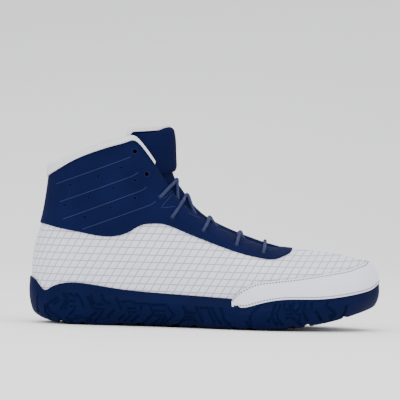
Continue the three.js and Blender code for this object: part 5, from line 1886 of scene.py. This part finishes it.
pad_top = tongue_skin(pad_ways, pad_across, pad_crown(pad_shares, pad_across))
pad_under = tongue_skin(pad_ways, pad_across, 0.3)
pad_table = np.concatenate([pad_top, pad_under[:, ::-1], pad_top[:, :1]], axis=1)
cushion = sheet_of("tongue_cushion", pad_table)
merge_doubles(cushion)
bpy.ops.object.mode_set(mode="EDIT")
bpy.ops.mesh.select_all(action="DESELECT")
bpy.ops.mesh.select_non_manifold()
bpy.ops.mesh.fill()
bpy.ops.mesh.select_all(action="SELECT")
bpy.ops.mesh.normals_make_consistent(inside=False)
bpy.ops.object.mode_set(mode="OBJECT")
finish_piece(cushion, ["tongue_pad"], [tongue_cloth], 60)

# %% [markdown]
# ## The laces
# A thin round lace runs from hole to hole. At the bottom it goes straight across; above that each
# strand comes up from under one edge, crosses the tongue and goes down through the opposite hole.
# The two top holes stay empty, and the lace's ends are tucked inside at the last pair. A tight
# lace runs straight between the places where it bends, so only those places are looked for.

# %% Thread the laces
LACE_LIFT = PANEL_FACE + LACE_DIAMETER / 2 + 0.15
TONGUE_LIFT = LACE_DIAMETER / 2 - 0.3
LACE_SIDES = 16
CROSSINGS = [
    (2, 0.463, 0.520),
    (3, 0.521, 0.585),
    (4, 0.610, 0.650),
    (5, 0.709, 0.735),
]
BAR = (6, 0.802)


def nearest_to_line(points, start, end):
    """The one of many points that the side view shows nearest to a straight line."""
    flat = points[:, [0, 2]] - start[[0, 2]]
    line = end[[0, 2]] - start[[0, 2]]
    off = np.abs(flat[:, 0] * line[1] - flat[:, 1] * line[0])
    return points[off.argmin()]


def pulled_over_edge(side, start, end):
    edges = np.linspace(0.40, 0.92, 200)
    return nearest_to_line(skin(side * edges, 1.0, LACE_LIFT + 0.1), start, end)


def pulled_over_tongue(across, lift, start, end):
    ways = np.linspace(0.05, 0.85, 240)
    return nearest_to_line(tongue_skin(ways, across, lift), start, end)


def from_hole(side, hole, ridge):
    """A strand's points from inside a hole, over the throat's edge, to the tongue's ridge."""
    around, up = holes[side][0][hole], holes[side][1][hole]
    top = tongue_skin(way_of(ridge), 0.0, TONGUE_LIFT)
    start = skin(around, up, LACE_LIFT)
    edge = pulled_over_edge(side, start, top)
    towards = unit(edge - start)
    return [
        skin(around, up, -UPPER_WALL - 4.5) - towards * 1.2,
        skin(around, up, -0.5) - towards * 0.1,
        skin(around, up, PANEL_FACE + 0.2) + towards * 0.4,
        skin(around, up, LACE_LIFT - 0.3) + towards * 1.6,
        mix(start, edge, 0.55) + normal_at(around, up) * 0.3,
        edge,
        pulled_over_tongue(side * 0.30, TONGUE_LIFT + 0.2, edge, top),
        top,
    ]


def crossing(side, hole, ridge, emerge):
    start = tongue_skin(way_of(ridge), 0.0, TONGUE_LIFT)
    end = tongue_skin(way_of(emerge), -side * 0.42, TONGUE_LIFT)
    past = end + 0.5 * (end - start)
    return [
        *from_hole(side, hole, ridge),
        pulled_over_tongue(-side * 0.24, TONGUE_LIFT, start, end),
        end,
        pulled_over_tongue(-side * 0.58, TONGUE_LIFT - 0.5, start, past),
    ]


paths = [even_path(crossing(side, *row), 80) for row in CROSSINGS for side in (1, -1)]
paths.append(even_path(from_hole(1, *BAR) + from_hole(-1, *BAR)[::-1][1:], 90))
strands = []
for path in paths:
    name = f"strand_{len(strands)}"
    strands.append(laid_thread(name, path, LACE_DIAMETER / 2, LACE_SIDES))
laces = joined("shoe_lace", strands)
lace_length = sum(arc_length(path)[-1] for path in paths)
print("lace in view and just under the edges:", round(float(lace_length)), "mm")
lace_nodes = ["lace_bar_1", "lace_cross_2", "lace_cross_3", "lace_cross_4", "lace_cross_5"]
finish_piece(laces, lace_nodes, [cord_finish], 60)
